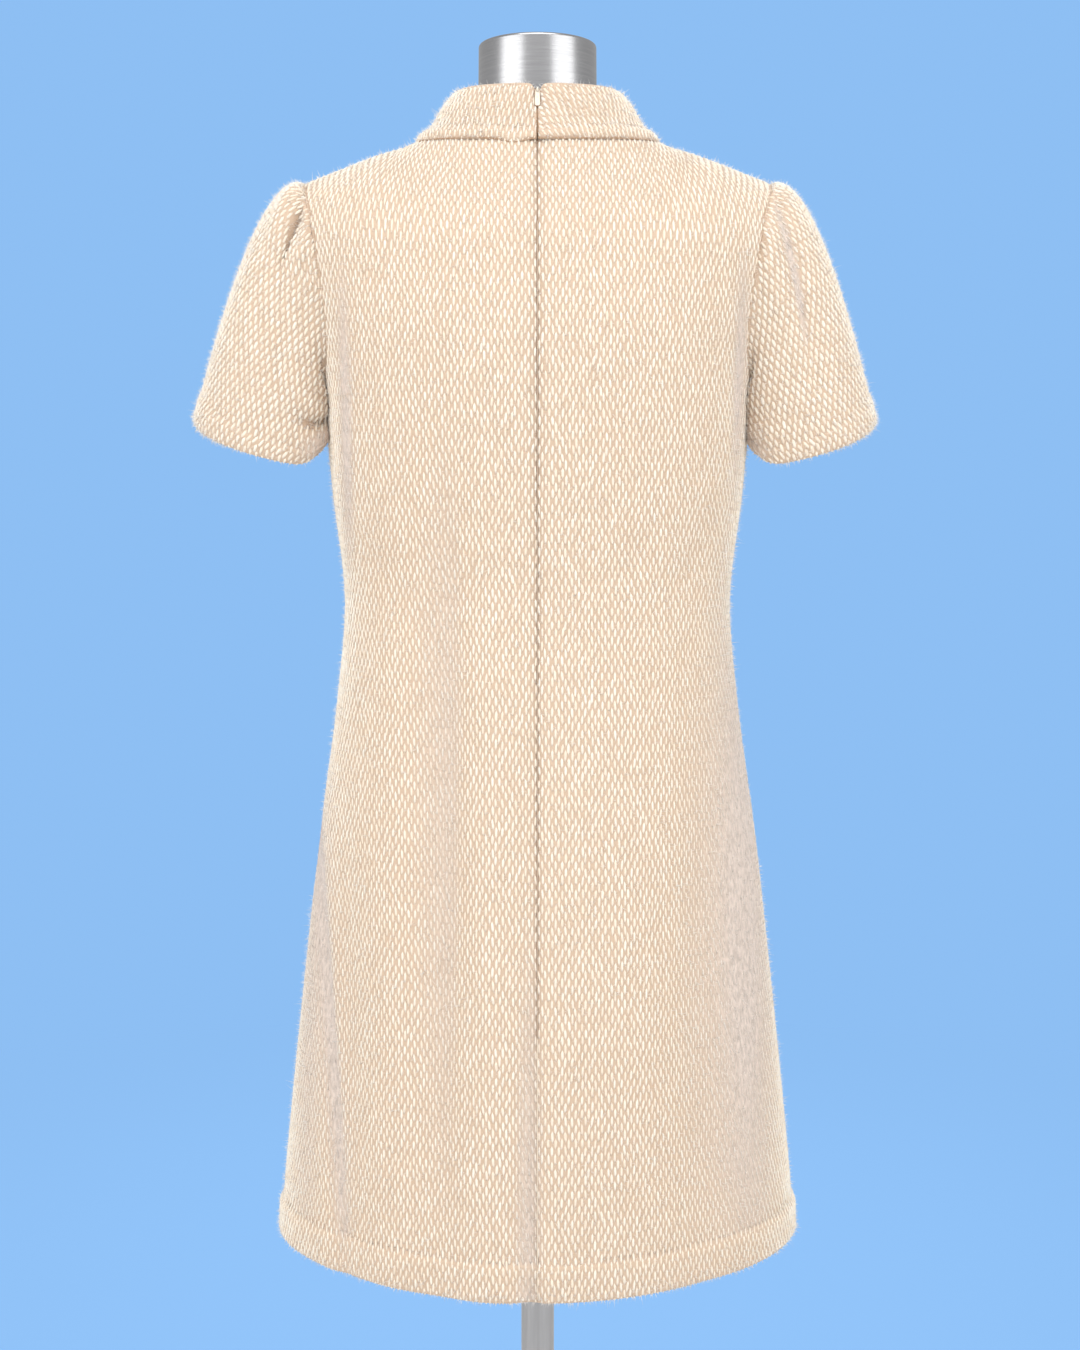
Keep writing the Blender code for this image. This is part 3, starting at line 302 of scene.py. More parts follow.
# Spans of rows up the body and along the sleeve and the collar: where they start and end, and their number
BODY_ROWS = (
    (HEM + CLOTH, HEM + HEM_BAND - HEM_STEP, 5),
    (HEM + HEM_BAND - 0.0015, HEM + HEM_BAND + HEM_STEP, 5),
    (HEM + HEM_BAND + HEM_STEP + 0.004, UNDERARM, 78),
    (UNDERARM, YOKE, 18),
    (YOKE, CREST, 26),
)
CUFF_ROWS = (1.0, 0.985, 0.965, 0.945, 0.925, 0.912, 0.902, 0.892, 0.88)
SLEEVE_ROWS = np.concatenate([CUFF_ROWS, np.linspace(0.866, 0.12, 42), np.linspace(0.106, 0.0, 10)])
COLLAR_ROWS = np.concatenate([[0, 0.02, 0.045, 0.07, 0.10, 0.14], np.linspace(0.18, 0.95, 14)])
COLLAR_COLUMNS = 181
COLLAR_CROWDING = 0.11  # draws the columns together at the centre back
SLEEVE_CROWDING = 0.55  # draws them together at the sleeve's pleats
SLEEVE_CROWDED_AT = 0.43
EVEN_COLUMNS_TO = 0.965  # share of a panel's half width up to which its columns are even
BESIDE_CENTRE = 1e-7  # share of the half width that stands for the centre line of one back
SMALL = 1e-4  # step over which the slopes of a face are taken
LAYER_GAP = 0.0001  # room between the layers of a turned-up hem
TUCK_NAP_SHADE = 0.6  # share of its hollowness that a tuck gives the cloth, painted as nap and shade
CREASE_FADE = 0.7  # power of a crease's fade at its ends
CORNER_PLACE = 0.10  # round the arm, as q
CORNER_RISE = (0.55, 0.4)  # share of the sleeve's length where it starts, and over which it grows
SLEEVE_TO_BODY_RISE = (0.1, 0.35)
SLEEVE_REST_RISE = 0.3
SLEEVE_SEAM_WIDTH = 0.02  # share of the sleeve's length over which it rolls in at the armhole
NOTCH_POWER = 1.5  # of the rounding at the collar's ends
LIP_SAG_REACH = 0.5  # share of the collar's height over which the sag is lost
ZIP_COIL_FROM = 0.004  # above the zip's end
ZIP_COIL_COLLAR = (0.02, 0.80)  # shares of the collar's height between which the coil runs in it

# Measure and grain of the cloth

MEASURE = 0.001  # step of the even grids, across and along
BACK_SLOPE = {LEFT: -0.08, RIGHT: -0.02}  # the weft drops a little towards the wearer's right
FRONT_SLOPE = 0.02
LEVEL_SHARE = 0.5  # least rise of a sleeve's level over its length, where the head turns over
GRAIN_RISE_OUT = 0.53  # the sleeve's weft rises more steeply than its cuff

# Sizes of the weave and the nap

# Grain: the columns' lean as a function of the measure across, the rows' slope, and what multiplies the pitch
Grain = namedtuple("Grain", "lean slope close")
HEM_OUTSIDE = 0.016  # along the cloth from its raw edge: the weave is laid from here on
CUFF_OUTSIDE = 0.008
# Strip of thicker nap: how its piece's name begins, its reach along the cloth and how many times thicker
Strip = namedtuple("Strip", "name low high fuzz")
HEM_STRIPS = (Strip("fold_", HEM_OUTSIDE, 0.038, 2.2),)
CUFF_STRIPS = (Strip("fold_", CUFF_OUTSIDE, 0.030, 2.2),)
FLOAT_SECTION = np.array([[-1.0, -0.3], [0.0, 1.0], [1.0, -0.3]])  # share of half the width, of the height
FLOAT_RINGS = (-0.40, 0.40)  # share of the half length at which the float is widest
FLOAT_CORNERS = 2 + len(FLOAT_RINGS) * len(FLOAT_SECTION)
HOLLOW_FLOAT = (0.50, 0.25, 0.60)  # shares of width, length and height that a float loses in a trough
HOLLOW_TURN = radians(15)
TURN_WAVE = radians(3.2)  # the floats' turn drifts slowly over the cloth
TURN_WAVE_ACROSS = 0.008
TURN_WAVE_ALONG = 0.014
FLOAT_SIZES = (0.88, 1.12)  # least and most that a float's sizes are multiplied by
FLOAT_TIP = -0.2  # the floats' ends lie below the ground, by this share of their height
COLUMN_DRIFT = 0.07  # usual shift of a float across and along, as shares of the pitch and the repeat
ROW_DRIFT = 0.03
TURN_DRIFT = radians(2.8)  # usual turn of a float
CLOTH_SPARE = 0.3  # shares of a repeat by which a float's middle may lie past the ends of the weave
NAP_LENGTHS = (0.45, 1.15)  # least and most that a fibre's length is multiplied by
NAP_LEANS = (0.1, 1.15)  # from upright, in radians
LONG_NAP_SHARE = 0.06  # of the fibres are long
LONG_NAP = 1.8
RAISED_NAP_LEANS = (0.9, 1.4)  # where the nap is raised it lies along the cloth's length
RAISED_NAP_DRIFT = 0.25  # in radians
RAISED_NAP_FROM = 0.3  # of the floats' height
SLEEVE_FUZZ = 2.7  # the sleeves' and the collar's nap is thicker, and their floats have other sizes
SLEEVE_PLUMP = (1.26, 0.85, 1.15)
SLEEVE_LEAN = radians(4)
COLLAR_FUZZ = 3.2
COLLAR_PLUMP = (0.9, 0.85, 1.0)
COLLAR_CLOSE = 0.89  # its weave is closer
COLLAR_LEAN_LEFT = radians(-7)
COLLAR_LEAN_RIGHT = radians(40)  # at the centre back, and it turns back by a share over a distance
COLLAR_LEAN_LOSS = 0.6
COLLAR_LEAN_REACH = 0.09
COLLAR_INSIDE = 0.032  # the collar's inside, which has no weave
COLLAR_LAYER = 0.45  # thickness of the collar's sheet over that of the cloth
SEEDS = {
    "back_left": 1, "back_right": 21, "front_right": 41, "front_left": 44,
    "sleeve_left": 51, "sleeve_right": 71, "collar_right": 91, "collar_left": 95,
}

# Seams

CentreSeam = namedtuple("CentreSeam", "name low high out material")
CENTRE_SEAMS = (  # parts of the seam's edge: a brown painted shadow in the slit at the top, a tan line that also paints the seam's shadow in the middle, and lost in the cloth near the hem
    CentreSeam("centre_back_slit", 1.340, CREST - 0.001, 0.00012, "painted_seam_shadow"),
    CentreSeam("centre_back_seam", 0.715, 1.340, 0.00048, "tan_ground_wool"),
    CentreSeam("centre_back_seam_low", HEM + 0.003, 0.715, 0.00016, "cream_float_wool"),
)
CENTRE_SEAM_STEP = 0.0055  # between its points
CENTRE_SEAM_RADIUS = 0.00034
CENTRE_SEAM_WANDER = 0.00006
CENTRE_SEAM_TURNS = 190.0  # radians of the wander's faster wave to a metre
CENTRE_SEAM_BEAT = 0.37  # turns of its slower wave over those of the faster one
NECK_SEAM_OUT = 0.0013
NECK_SEAM_DROP = 0.0003
NECK_SEAM_RADIUS = 0.00070
NECK_SEAM_END = 0.004  # angle that the neck seam's ends keep from the centre back
SEAM_ENDS = 0.003  # the seams' lower ends lie this far above the hem
ARMHOLE_SEAM_POINTS = 181
SIDE_SEAM_POINTS = 60
SHOULDER_SEAM_POINTS = 24
NECK_SEAM_POINTS = 240

# Steel parts of the form

# Turned piece: how many steps round it, the radii of its upper and lower edges, and its taper to the top
Turned = namedtuple("Turned", "name material steps edge low_edge taper")
NECK_CAP = Turned("neck_cap_shell", "neck_cap_steel", 160, 0.0022, 0.0006, 0.0005)
POLE = Turned("pole_tube", "stand_steel", 64, 0.0010, 0.0010, 0.0)
BASE_PLATE = Turned("base_disc", "stand_steel", 160, 0.0025, 0.0008, 0.0)
SAME_POINT = 1e-5  # points of the solid torso nearer than this are one

# Zip

ZIP_FINISHES = {
    "zip_tape_left": "zip_tape_cloth", "zip_tape_right": "zip_tape_cloth", "zip_slider": "ivory_enamel",
}
PULL_FACE_TOP = 0.0016  # half the width of the enamelled face at its bar and at its foot
PULL_FACE_FOOT = 0.0022
PULL_EDGE = 0.00055  # bare edge that slopes back round the face
PULL_REACH = (0.0008, 0.0133)  # above and below the hinge
PULL_THICK = 0.0011
PULL_CORNERS = 5.0
PULL_WINDOW = (0.00095, 0.0011)  # half the width and half the height of the hole that the slider's lug passes
PULL_WINDOW_DROP = 0.0012
PULL_FOOT = 0.002  # height of the solid pull's foot, whose middle shows which way it hangs
PULL_ROUND = 0.0001  # unit of the rounding at its edges
PULL_POINTS = 56  # round each of its rings
BARE_METAL = (0.34, 0.21, 0.13)
WORN_ENAMEL = (0.55, 0.42, 0.28)

# Studio

# Softbox: where it stands round the form and how far away, its height and sizes, its share of the power, and
# whether it is mirrored in what shines
Light = namedtuple("Light", "name turn away z width height share gleams")
STUDIO = (
    Light("softbox_left", -51, 2.4, 1.34, 1.9, 2.5, 0.73, True),
    Light("softbox_right", 51, 2.4, 1.34, 1.9, 2.5, 0.70, True),
    Light("softbox_front", 0, 2.9, 1.90, 2.2, 1.5, 0.06, True),
    Light("softbox_top", 0, 1.1, 2.90, 1.8, 1.4, 0.60, True),
    Light("softbox_behind", 180, 2.2, 1.80, 2.2, 1.8, 0.95, False),
)
LIGHTS_AIM = (0, 0, 1.05)
FLOOR_RADIUS = 12
FLOOR_SINK = 0.0005  # keeps the floor clear of the base plate
FLOOR_STEPS = 96
FLOOR_THROWS = (0.75, 0.75, 0.75)  # plain light that the floor gives back to the dress
FLOOR_FADE = (0.2, 2.5)  # distance over which the floor's own shade passes into the backdrop
FLOOR_GLOW = (1.0, 0.5)  # share of its glow far away and under the dress
LENS = 50
SENSOR = 36
CAMERA_PLACE = (0.002, -1.56, 1.125)
CAMERA_PITCH = 5.15  # degrees down


# Shape functions

def smooth(places, values, at):
    """Read a smooth curve through the points (places, values): cubic pieces that share their slopes."""
    places = np.asarray(places, float)
    values = np.asarray(values, float)
    at = np.asarray(at, float)
    slopes = np.gradient(values, places)
    i = np.clip(np.searchsorted(places, at) - 1, 0, len(places) - 2)
    span = places[i + 1] - places[i]
    f = np.clip((at - places[i]) / span, 0, 1)
    ends = (1 + 2 * f) * (1 - f) ** 2 * values[i] + f ** 2 * (3 - 2 * f) * values[i + 1]
    return ends + span * f * (1 - f) * ((1 - f) * slopes[i] - f * slopes[i + 1])


def read(table, name, at):
    """Read one named column of a table against its first column."""
    return smooth([row[0] for row in table], [getattr(row, name) for row in table], at)


def ease(value):
    """Rise from 0 to 1 with level ends."""
    value = np.clip(value, 0, 1)
    return value * value * (3 - 2 * value)


def rise(value, start, length):
    """Rise from 0 to 1 over a length from the start, with level ends."""
    return ease((value - start) / length)


def bell(value):
    """exp(-value squared)."""
    return np.exp(-(value ** 2))


def hermite(start, leaving, end, arriving, w):
    """Cubic curve from start to end with the given speeds at its two ends."""
    w = w[..., None]
    return (
        (1 + 2 * w) * (1 - w) ** 2 * start
        + w * (1 - w) ** 2 * leaving
        + w ** 2 * (3 - 2 * w) * end
        - w ** 2 * (1 - w) * arriving
    )


def unit(vectors):
    """Vectors of length 1."""
    return vectors / np.maximum(np.linalg.norm(vectors, axis=-1, keepdims=True), 1e-12)


def rounded(angle, power):
    """Cosine and sine of a superellipse: its corners fill out as the power grows past 2."""
    c = np.abs(np.cos(angle)) ** (2 / power) * np.sign(np.cos(angle))
    s = np.abs(np.sin(angle)) ** (2 / power) * np.sign(np.sin(angle))
    return c, s


# Body of the dress

def level_face(side, s, z):
    """Level rows: a superellipse from the centre line (s = 0) to the side seam or armhole (s = 1)."""
    name = "back" if side == BACK else "front"
    depth = read(BODY, name, z)
    power = read(BODY, "power", z)
    above = z > UNDERARM
    edge_y = np.where(above, read(ARMHOLE, name + "_y", z), 0.0)
    edge_x = np.where(above, read(ARMHOLE, name + "_x", z), read(BODY, "half_width", z))
    last = np.arccos(np.clip(edge_y / depth, 0, 1) ** (power / 2))
    c, c_s = rounded(np.abs(s) * last, power)
    _, last_s = rounded(last, power)
    x = np.sign(s) * edge_x * c_s / last_s
    return np.stack([x, side * depth * c, z + 0 * s], -1)


def neckline(angle):
    """Neck seam: half an ellipse behind the neck and half in front; angle 0 is the centre back."""
    behind = np.cos(angle) > 0
    depth = np.where(behind, NECK_BACK, NECK_FRONT)
    drop = np.where(behind, NECK_DROP_BACK, NECK_DROP_FRONT)
    z = NECK_Z - drop * np.cos(angle) ** 2
    return np.stack([NECK_WIDTH * np.sin(angle), -depth * np.cos(angle), z], -1)


def crest(side, s):
    """Top edge of a panel: a quarter of the neckline, then the straight shoulder seam."""
    share = np.clip(np.abs(s) / NECK_SHARE, 0, 1) * pi / 2
    neck = neckline(share if side == BACK else pi - share)
    along = np.clip((np.abs(s) - NECK_SHARE) / (1 - NECK_SHARE), 0, 1)[..., None]
    tip = np.array([SHOULDER[0], -SHOULDER[1], SHOULDER[2]])
    points = neck + along * (tip - neck)
    points[..., 0] *= np.where(s < 0, -1, 1)
    return points


def yoke_face(side, s, w):
    """Rows above the yoke line: each column bends from its level row up to the neckline or shoulder seam."""
    step = 0.002
    base = level_face(side, s, np.full(s.shape, YOKE))
    slope = (base - level_face(side, s, np.full(s.shape, YOKE - step))) / step
    top = crest(side, s)
    leans = [read(CREST_LEANS, name, np.abs(s)) for name in ("inward", "over", "up")]
    lean = unit(np.stack([-np.sign(s) * leans[0], -side * leans[1], leans[2]], -1))
    reach = np.linalg.norm(top - base, axis=-1, keepdims=True)
    return hermite(base, slope * reach, top, CREST_PULL * reach * lean, w)


def slit(h):
    """Half the gap between the two backs: the cloth's lips close over the zip, and below it is the seam."""
    lips = SLIT_LIPS + (COLLAR_LIPS - SLIT_LIPS) * ease((h - CREST + LIPS_REACH) / LIPS_REACH)
    return CLOSED + (lips - CLOSED) * ease((h - ZIP_END) / SLIT_EASE)


def body_face(side, s, h):
    """Outer face of the dress without folds, at share s of the half width and row height h."""
    s, h = np.broadcast_arrays(np.asarray(s, float), np.asarray(h, float))
    low = level_face(side, s, np.minimum(h, YOKE))
    w = np.clip((h - YOKE) / (CREST - YOKE), 0, 1)
    points = np.where((h > YOKE)[..., None], yoke_face(side, s, w), low)
    points[..., 1] += side * SEAM / 2
    return points


def body_normal(side, s, h):
    """Outward normal of the dress without folds."""
    step = SMALL
    s, h = np.broadcast_arrays(np.asarray(s, float), np.asarray(h, float))
    along = body_face(side, np.minimum(s + step, 1), h) - body_face(side, np.maximum(s - step, -1), h)
    up = body_face(side, s, np.minimum(h + step, CREST)) - body_face(side, s, np.maximum(h - step, HEM))
    return -side * unit(np.cross(along, up))


def fold_depth(side, points, folds):
    """How far the folds sink the outer face: each is a bell across a slanting line that fades at its ends."""
    x, z = points[..., 0], points[..., 2]
    depth = np.zeros(x.shape)
    for fold in folds:
        if fold.side == side:
            up = (z - fold.z_low) / (fold.z_top - fold.z_low)
            line = fold.x_low + up * (fold.x_top - fold.x_low)
            fade = np.sin(pi * np.clip(up, 0, 1)) ** FOLD_FADE
            depth += fold.depth * bell((x - line) / fold.width) * fade
    return depth


def band(h):
    """1 in the turned-up hem, 0 above it."""
    return 1 - ease((h - HEM - HEM_BAND) / HEM_STEP)


def body_out(side, s, h, base):
    """How far the finished outer face lies outside the plain one, and how hollow it is: 1 in deep troughs,
    which the materials paint with shade.
    """
    edge = 1 - np.abs(s) ** EDGE_FADE
    depth = fold_depth(side, base, FOLDS + CREASES)
    if side == BACK:
        depth += GROOVE_DEPTH * bell(base[..., 0] / GROOVE_WIDTH)
    stitched = HEM_SINK * bell((h - HEM - HEM_BAND - HEM_STEP) / HEM_SINK_WIDTH)
    over = h - HEM - HEM_BAND
    ridge = HEM_RIDGE * bell(over / np.where(over > 0, HEM_RIDGE_WIDTH, HEM_RIDGE_FALL))
    out = BAND_PROUD * band(h) - depth * edge - stitched + ridge
    hollow = depth * edge / HOLLOW_DEPTH + fold_depth(side, base, NAP_AND_SHADE_BANDS) * (1 - HEM_KEEPS * band(h))
    return out, np.clip(hollow, 0, 1)


def open_slit(points, side, s, h):
    """Move the two backs apart at the centre, above the end of the zip."""
    if side == BACK:
        points[..., 0] += np.sign(s + BESIDE_CENTRE / 2) * slit(h) * (1 - np.abs(s)) ** SLIT_FADE
    return points


def turned_hem(face, back_of, fold_down, turn_steps=7):
    """Rows of the turned-up hem, from its raw edge inside, round the fold, to the first outer row.

    face and back_of hold the outer face's rows from the fold upwards and the same rows on the band's inner
    side. The fold is half a circle between them: middle + (outer - middle) cos t + down * radius * sin t.
    """
    middle = (face[0] + back_of[0]) / 2
    half = (face[0] - back_of[0]) / 2
    radius = np.linalg.norm(half, axis=-1, keepdims=True)
    t = np.linspace(pi, 0, turn_steps + 2)[1:-1, None, None]
    fold = middle + half * np.cos(t) + fold_down * radius * np.sin(t)
    return np.concatenate([back_of[::-1], fold, face])


def hemmed(face, normal, hollow, tucked, down):
    """Add the turned-up rows below a face; the fourth number of each point is its hollowness."""
    allowance = face[tucked] - normal[tucked] * 2 * (CLOTH + LAYER_GAP)
    rows = turned_hem(face, allowance, down)
    added = np.zeros((len(rows) - len(face), face.shape[1]))
    return np.concatenate([rows, np.concatenate([added, hollow])[..., None]], -1)


def body_cloth(side, s):
    """Face of a panel as one sheet that is folded up inside at the hem, with its hollowness.

    The rows run from the raw edge inside, down to the fold and up the outside to the neckline.
    """
    h = np.unique(np.concatenate([np.linspace(*span) for span in BODY_ROWS]))[:, None]
    s = s[None, :]
    base = body_face(side, s, h)
    normal = body_normal(side, s, h)
    out, hollow = body_out(side, s, h, base)
    face = open_slit(base + normal * out[..., None], side, s, h)
    tucked = h[:, 0] < HEM + HEM_BAND
    return hemmed(face, normal, hollow, tucked, np.array([0, 0, -1.0]))


# Sleeves

CUFF_DOWN = unit(np.array([CUFF_RISE_OUT, CUFF_RISE_FRONT, -1.0]))


def armhole_edge(q):
    """Edge of the armhole all round, without gaps: q 0 underarm, 0.25 back, 0.5 shoulder, 0.75 front.

    Gives the point, the way out of the panel in its own surface, and the panel's normal.
    """
    q = np.asarray(q, float) % 1.0
    back = q <= 0.5
    share = np.where(back, q, 1 - q) * 2
    h = UNDERARM + (CREST - UNDERARM) * share ** ARMHOLE_EASE
    step = SMALL
    ones = np.ones(q.shape)
    result = []
    for side in (BACK, FRONT):
        point = body_face(side, ones, h)
        ahead = body_face(side, ones, np.minimum(h + step, CREST))
        behind = body_face(side, ones, np.maximum(h - step, UNDERARM))
        normal = body_normal(side, ones, h)
        result.append((point, unit(np.cross(ahead - behind, normal)) * -side, normal))
    pick = back[..., None]
    point, way, normal = (np.where(pick, b, f) for b, f in zip(*result))
    seam = (share[..., None] < 1e-6) | (share[..., None] > 1 - 1e-6)
    middle = tuple((b + f) / 2 for b, f in zip(*result))
    point = np.where(seam, middle[0], point)
    way = np.where(seam, unit(middle[1]), way)
    normal = np.where(seam, unit(middle[2]), normal)
    return point, way, normal


def cuff(hand, q):
    """Edge of the cuff: a superellipse in a plane that rises outwards and to the front.

    Its corner beside the body is drawn up.
    """
    c, s = rounded(2 * pi * np.asarray(q, float), CUFF_POWER)
    x = -CUFF_WIDTH[hand] * c
    y = -CUFF_DEPTH * s
    z = CUFF_Z + CUFF_RISE_OUT * x + CUFF_RISE_FRONT * y
    corner = np.clip((c - CUFF_LIFT_FROM) / (1 - CUFF_LIFT_FROM), 0, 1)
    z += CUFF_LIFT[hand] * corner ** CUFF_LIFT_POWER
    return np.stack([CUFF_X[hand] + x, y, z], -1)


def sleeve_face(hand, q, r):
    """Outer face of the right sleeve without tucks: lines run from the armhole (r 0) to the cuff (r 1)."""
    q, r = np.broadcast_arrays(np.asarray(q, float), np.asarray(r, float))
    point, way, normal = armhole_edge(q)
    turn = np.radians(read(SLEEVE_TURNS, "turn", q % 1.0))[..., None]
    pull = read(SLEEVE_TURNS, "pull", q % 1.0)[..., None]
    start = point + way * SEAM
    end = cuff(hand, q)
    reach = np.linalg.norm(end - start, axis=-1, keepdims=True)
    leaving = np.cos(turn) * way + np.sin(turn) * normal
    return hermite(start, leaving * pull * reach, end, CUFF_DOWN * SLEEVE_END_PULL * reach, r)


def sleeve_normal(hand, q, r):
    """Outward normal of the sleeve without tucks."""
    step = SMALL
    around = sleeve_face(hand, q + step, r) - sleeve_face(hand, q - step, r)
    along = sleeve_face(hand, q, np.minimum(r + step, 1)) - sleeve_face(hand, q, np.maximum(r - step, 0))
    return unit(np.cross(along, around))


def dress_side(y, z):
    """Where the side of the dress lies at the given depth and height, behind the arm and before it."""
    depth = np.where(y < 0, read(BODY, "back", z), read(BODY, "front", z))
    power = read(BODY, "power", z)
    share = np.clip(np.abs(y) / depth, 0, 1)
    return read(BODY, "half_width", z) * (1 - share ** power) ** (1 / power)


def sleeve_columns():
    """Places of the sleeve's columns round the arm, closer together where its pleats are."""
    even = np.arange(SLEEVE_COLUMNS) / SLEEVE_COLUMNS
    shift = SLEEVE_CROWDING * np.sin(2 * pi * (even - SLEEVE_CROWDED_AT)) / (2 * pi)
    first = SLEEVE_CROWDING * np.sin(-2 * pi * SLEEVE_CROWDED_AT) / (2 * pi)
    return even - shift + first


def sleeve_cloth(hand):
    """A sleeve as one sheet round the arm, folded up inside at the cuff; its rows run up to the armhole.

    Each crease is a bell across its bowed line, narrow on the side that laps over, and that side is pushed
    along the surface to lean over it. Its nap is the hollowness it gives the cloth, which paints the crease's
    shade in the nap's greyer colour; under 0 the floats are left out and the bare tan ground paints the shade
    deep in a pleat.
    """
    q = sleeve_columns()[None, :]
    r = SLEEVE_ROWS[:, None]
    base = sleeve_face(hand, q, r)
    normal = sleeve_normal(hand, q, r)
    q, r = np.broadcast_arrays(q, r)
    across = unit(sleeve_face(hand, q + 1e-3, r) - sleeve_face(hand, q - 1e-3, r))
    out = BAND_PROUD * ease((r - 1 + CUFF_BAND + CUFF_STEP) / CUFF_STEP)
    hollow = np.zeros(q.shape)
    over = np.zeros(q.shape)
    for tuck in TUCKS[hand]:
        line = tuck.place + tuck.lean * r / tuck.reach
        fade = ease(r / TUCK_RISE) * (1 - ease((r - TUCK_RISE) / tuck.reach))
        depth = tuck.depth * bell((q - line) / tuck.width) * fade
        out = out - depth
        hollow += depth / HOLLOW_DEPTH * TUCK_NAP_SHADE
    for crease in SLEEVE_CREASES[hand]:
        up = np.clip((r - crease.r_from) / (crease.r_to - crease.r_from), 0, 1)
        line = crease.q_from + (crease.q_to - crease.q_from) * up + crease.bow * np.sin(pi * up)
        fade = np.sin(pi * up) ** CREASE_FADE
        widen = 1 + crease.taper * (1 - 2 * up)
        side = (q - line) / np.where(q > line, crease.lap_width, crease.width) / widen
        depth = crease.depth * bell(side) * fade
        out = out - depth
        hollow += crease.nap * bell((q - line) / CREASE_NAP_SHADE_WIDTH / widen) * fade
        over -= crease.lap * bell((q - line - crease.lap_width) / (2 * crease.lap_width)) * fade
    around = (q + 0.5) % 1 - 0.5
    # a fold's nap paints its shade in the nap's greyer colour; under 0 the bare tan ground paints the shade
    # deep in the crease
    for fold in CUFF_FOLDS[hand]:
        beside = (q - fold.q + 0.5) % 1 - 0.5
        shape = bell((r - fold.r - fold.slope * beside) / fold.width) * bell(beside / fold.reach)
        out = out - fold.depth * shape
        hollow += fold.nap * shape
    corner = bell((around - CORNER_PLACE) / CORNER_NAP_SHADE_WIDTH)
    hollow += CORNER_NAP_SHADE * corner * rise(r, *CORNER_RISE)
    out = out - SEAM_SINK * bell(r / SLEEVE_SEAM_WIDTH)
    face = base + normal * out[..., None] + across * over[..., None]
    lean = bell(around / SLEEVE_TO_BODY_WIDTH)
    face[..., 0] -= SLEEVE_TO_BODY * lean * rise(r, *SLEEVE_TO_BODY_RISE)
    rest = dress_side(face[..., 1], face[..., 2]) + SLEEVE_REST * ease(r / SLEEVE_REST_RISE)
    face[..., 0] = np.maximum(face[..., 0], rest)
    tucked = r[:, 0] > 1 - CUFF_BAND
    rows = hemmed(face, normal, np.clip(hollow, -1, 1), tucked, CUFF_DOWN)
    rows[..., 0] *= hand
    return rows if hand == RIGHT else rows[:, ::-1]


# Collar

def collar_rim(angle):
    """Outer edge of the collar's rim, before its ends are rounded off at the centre back."""
    behind = np.cos(angle) > 0
    depth = np.where(behind, RIM_BACK, RIM_FRONT)
    end_z = np.where(behind, RIM_Z_BACK, RIM_Z_FRONT)
    z = RIM_Z_SIDE + (end_z - RIM_Z_SIDE) * np.cos(angle) ** 2
    return np.stack([RIM_WIDTH * np.sin(angle), -depth * np.cos(angle), z], -1)


def collar_face(angle, p):
    """Outer face of the collar, from the neck seam (p 0) to the rim (p 1)."""
    angle, p = np.broadcast_arrays(np.asarray(angle, float), np.asarray(p, float))
    foot = neckline(angle)
    rim = collar_rim(angle)
    foot[..., 0] -= SEAM * np.sin(angle)
    foot[..., 2] += COLLAR_LIFT
    to_centre = np.minimum(angle, 2 * pi - angle)
    rim[..., 2] -= NOTCH_DEPTH * (1 - ease(to_centre / NOTCH_REACH)) ** NOTCH_POWER
    points = foot + p[..., None] * (rim - foot)
    outward = unit(points * np.array([1, 1, 0]))
    sideways = np.abs(np.sin(angle))
    roll = COLLAR_ROLL * bell((p - ROLL_PLACE) / ROLL_WIDTH) * (1 + ROLL_SIDES * sideways)
    shape = roll - COLLAR_SHAPE * np.sin(2 * pi * p) * sideways
    return points + outward * shape[..., None]


def collar_normal(angle, p):
    """Outward normal of the collar."""
    step = SMALL
    around = collar_face(angle + step, p) - collar_face(angle - step, p)
    up = collar_face(angle, np.minimum(p + step, 1)) - collar_face(angle, np.maximum(p - step, 0))
    return unit(np.cross(around, up))


def collar_thickness(angle, p):
    """Thin at the neck seam and where the facing ends at the zip, two layers elsewhere."""
    to_centre = np.minimum(angle, 2 * pi - angle)
    full = COLLAR_SEAM_THICK + (COLLAR_THICK - COLLAR_SEAM_THICK) * ease(p / COLLAR_FULL)
    return CLOTH + (full - CLOTH) * ease(to_centre / FACING_REACH)


def lip_sag(angle):
    """How far the collar's lower edge sags beside the zip: a bell of the angle on the wearer's left."""
    return LIP_SAG * bell((angle - 2 * pi + LIP_SAG_PLACE) / LIP_SAG_WIDTH)


def collar_cloth():
    """The collar as one sheet: up the outside, over the rim in half a circle, and down the inside."""
    first = COLLAR_LIPS / RIM_BACK
    turn = np.linspace(0, 1, COLLAR_COLUMNS)
    crowded = turn - COLLAR_CROWDING * np.sin(2 * pi * turn)
    angle = (first + (2 * pi - 2 * first) * crowded)[None, :]
    p = COLLAR_ROWS[:, None]
    outer = collar_face(angle, p)
    normal = collar_normal(angle, p)
    thick = collar_thickness(angle, p)[..., None]
    inner = outer - normal * thick
    lip = LIP_OUT * bell((p - LIP_PLACE) / LIP_WIDTH) * (1 - LIP_LEVEL * np.abs(np.sin(angle)))
    outer = outer + normal * lip[..., None]
    outer[..., 2] -= lip_sag(angle) * (1 - ease(p / LIP_SAG_REACH))
    under = outer[:1] - normal[:1] * LIP_OUT - np.array([0, 0, LIP_OUT / 2])
    outer = np.concatenate([under, outer])
    middle, half = (outer[-1] + inner[-1]) / 2, (outer[-1] - inner[-1]) / 2
    up = unit(outer[-1] - outer[-2])
    t = np.linspace(0, pi, 9)[1:-1, None, None]
    rim = middle + half * np.cos(t) + up * np.linalg.norm(half, axis=-1, keepdims=True) * np.sin(t)
    rows = np.concatenate([outer, rim, inner[::-1]])
    return np.concatenate([rows, np.zeros((*rows.shape[:2], 1))], -1)


# Cloth in its own measure

Cloth = namedtuple("Cloth", "grid first step")


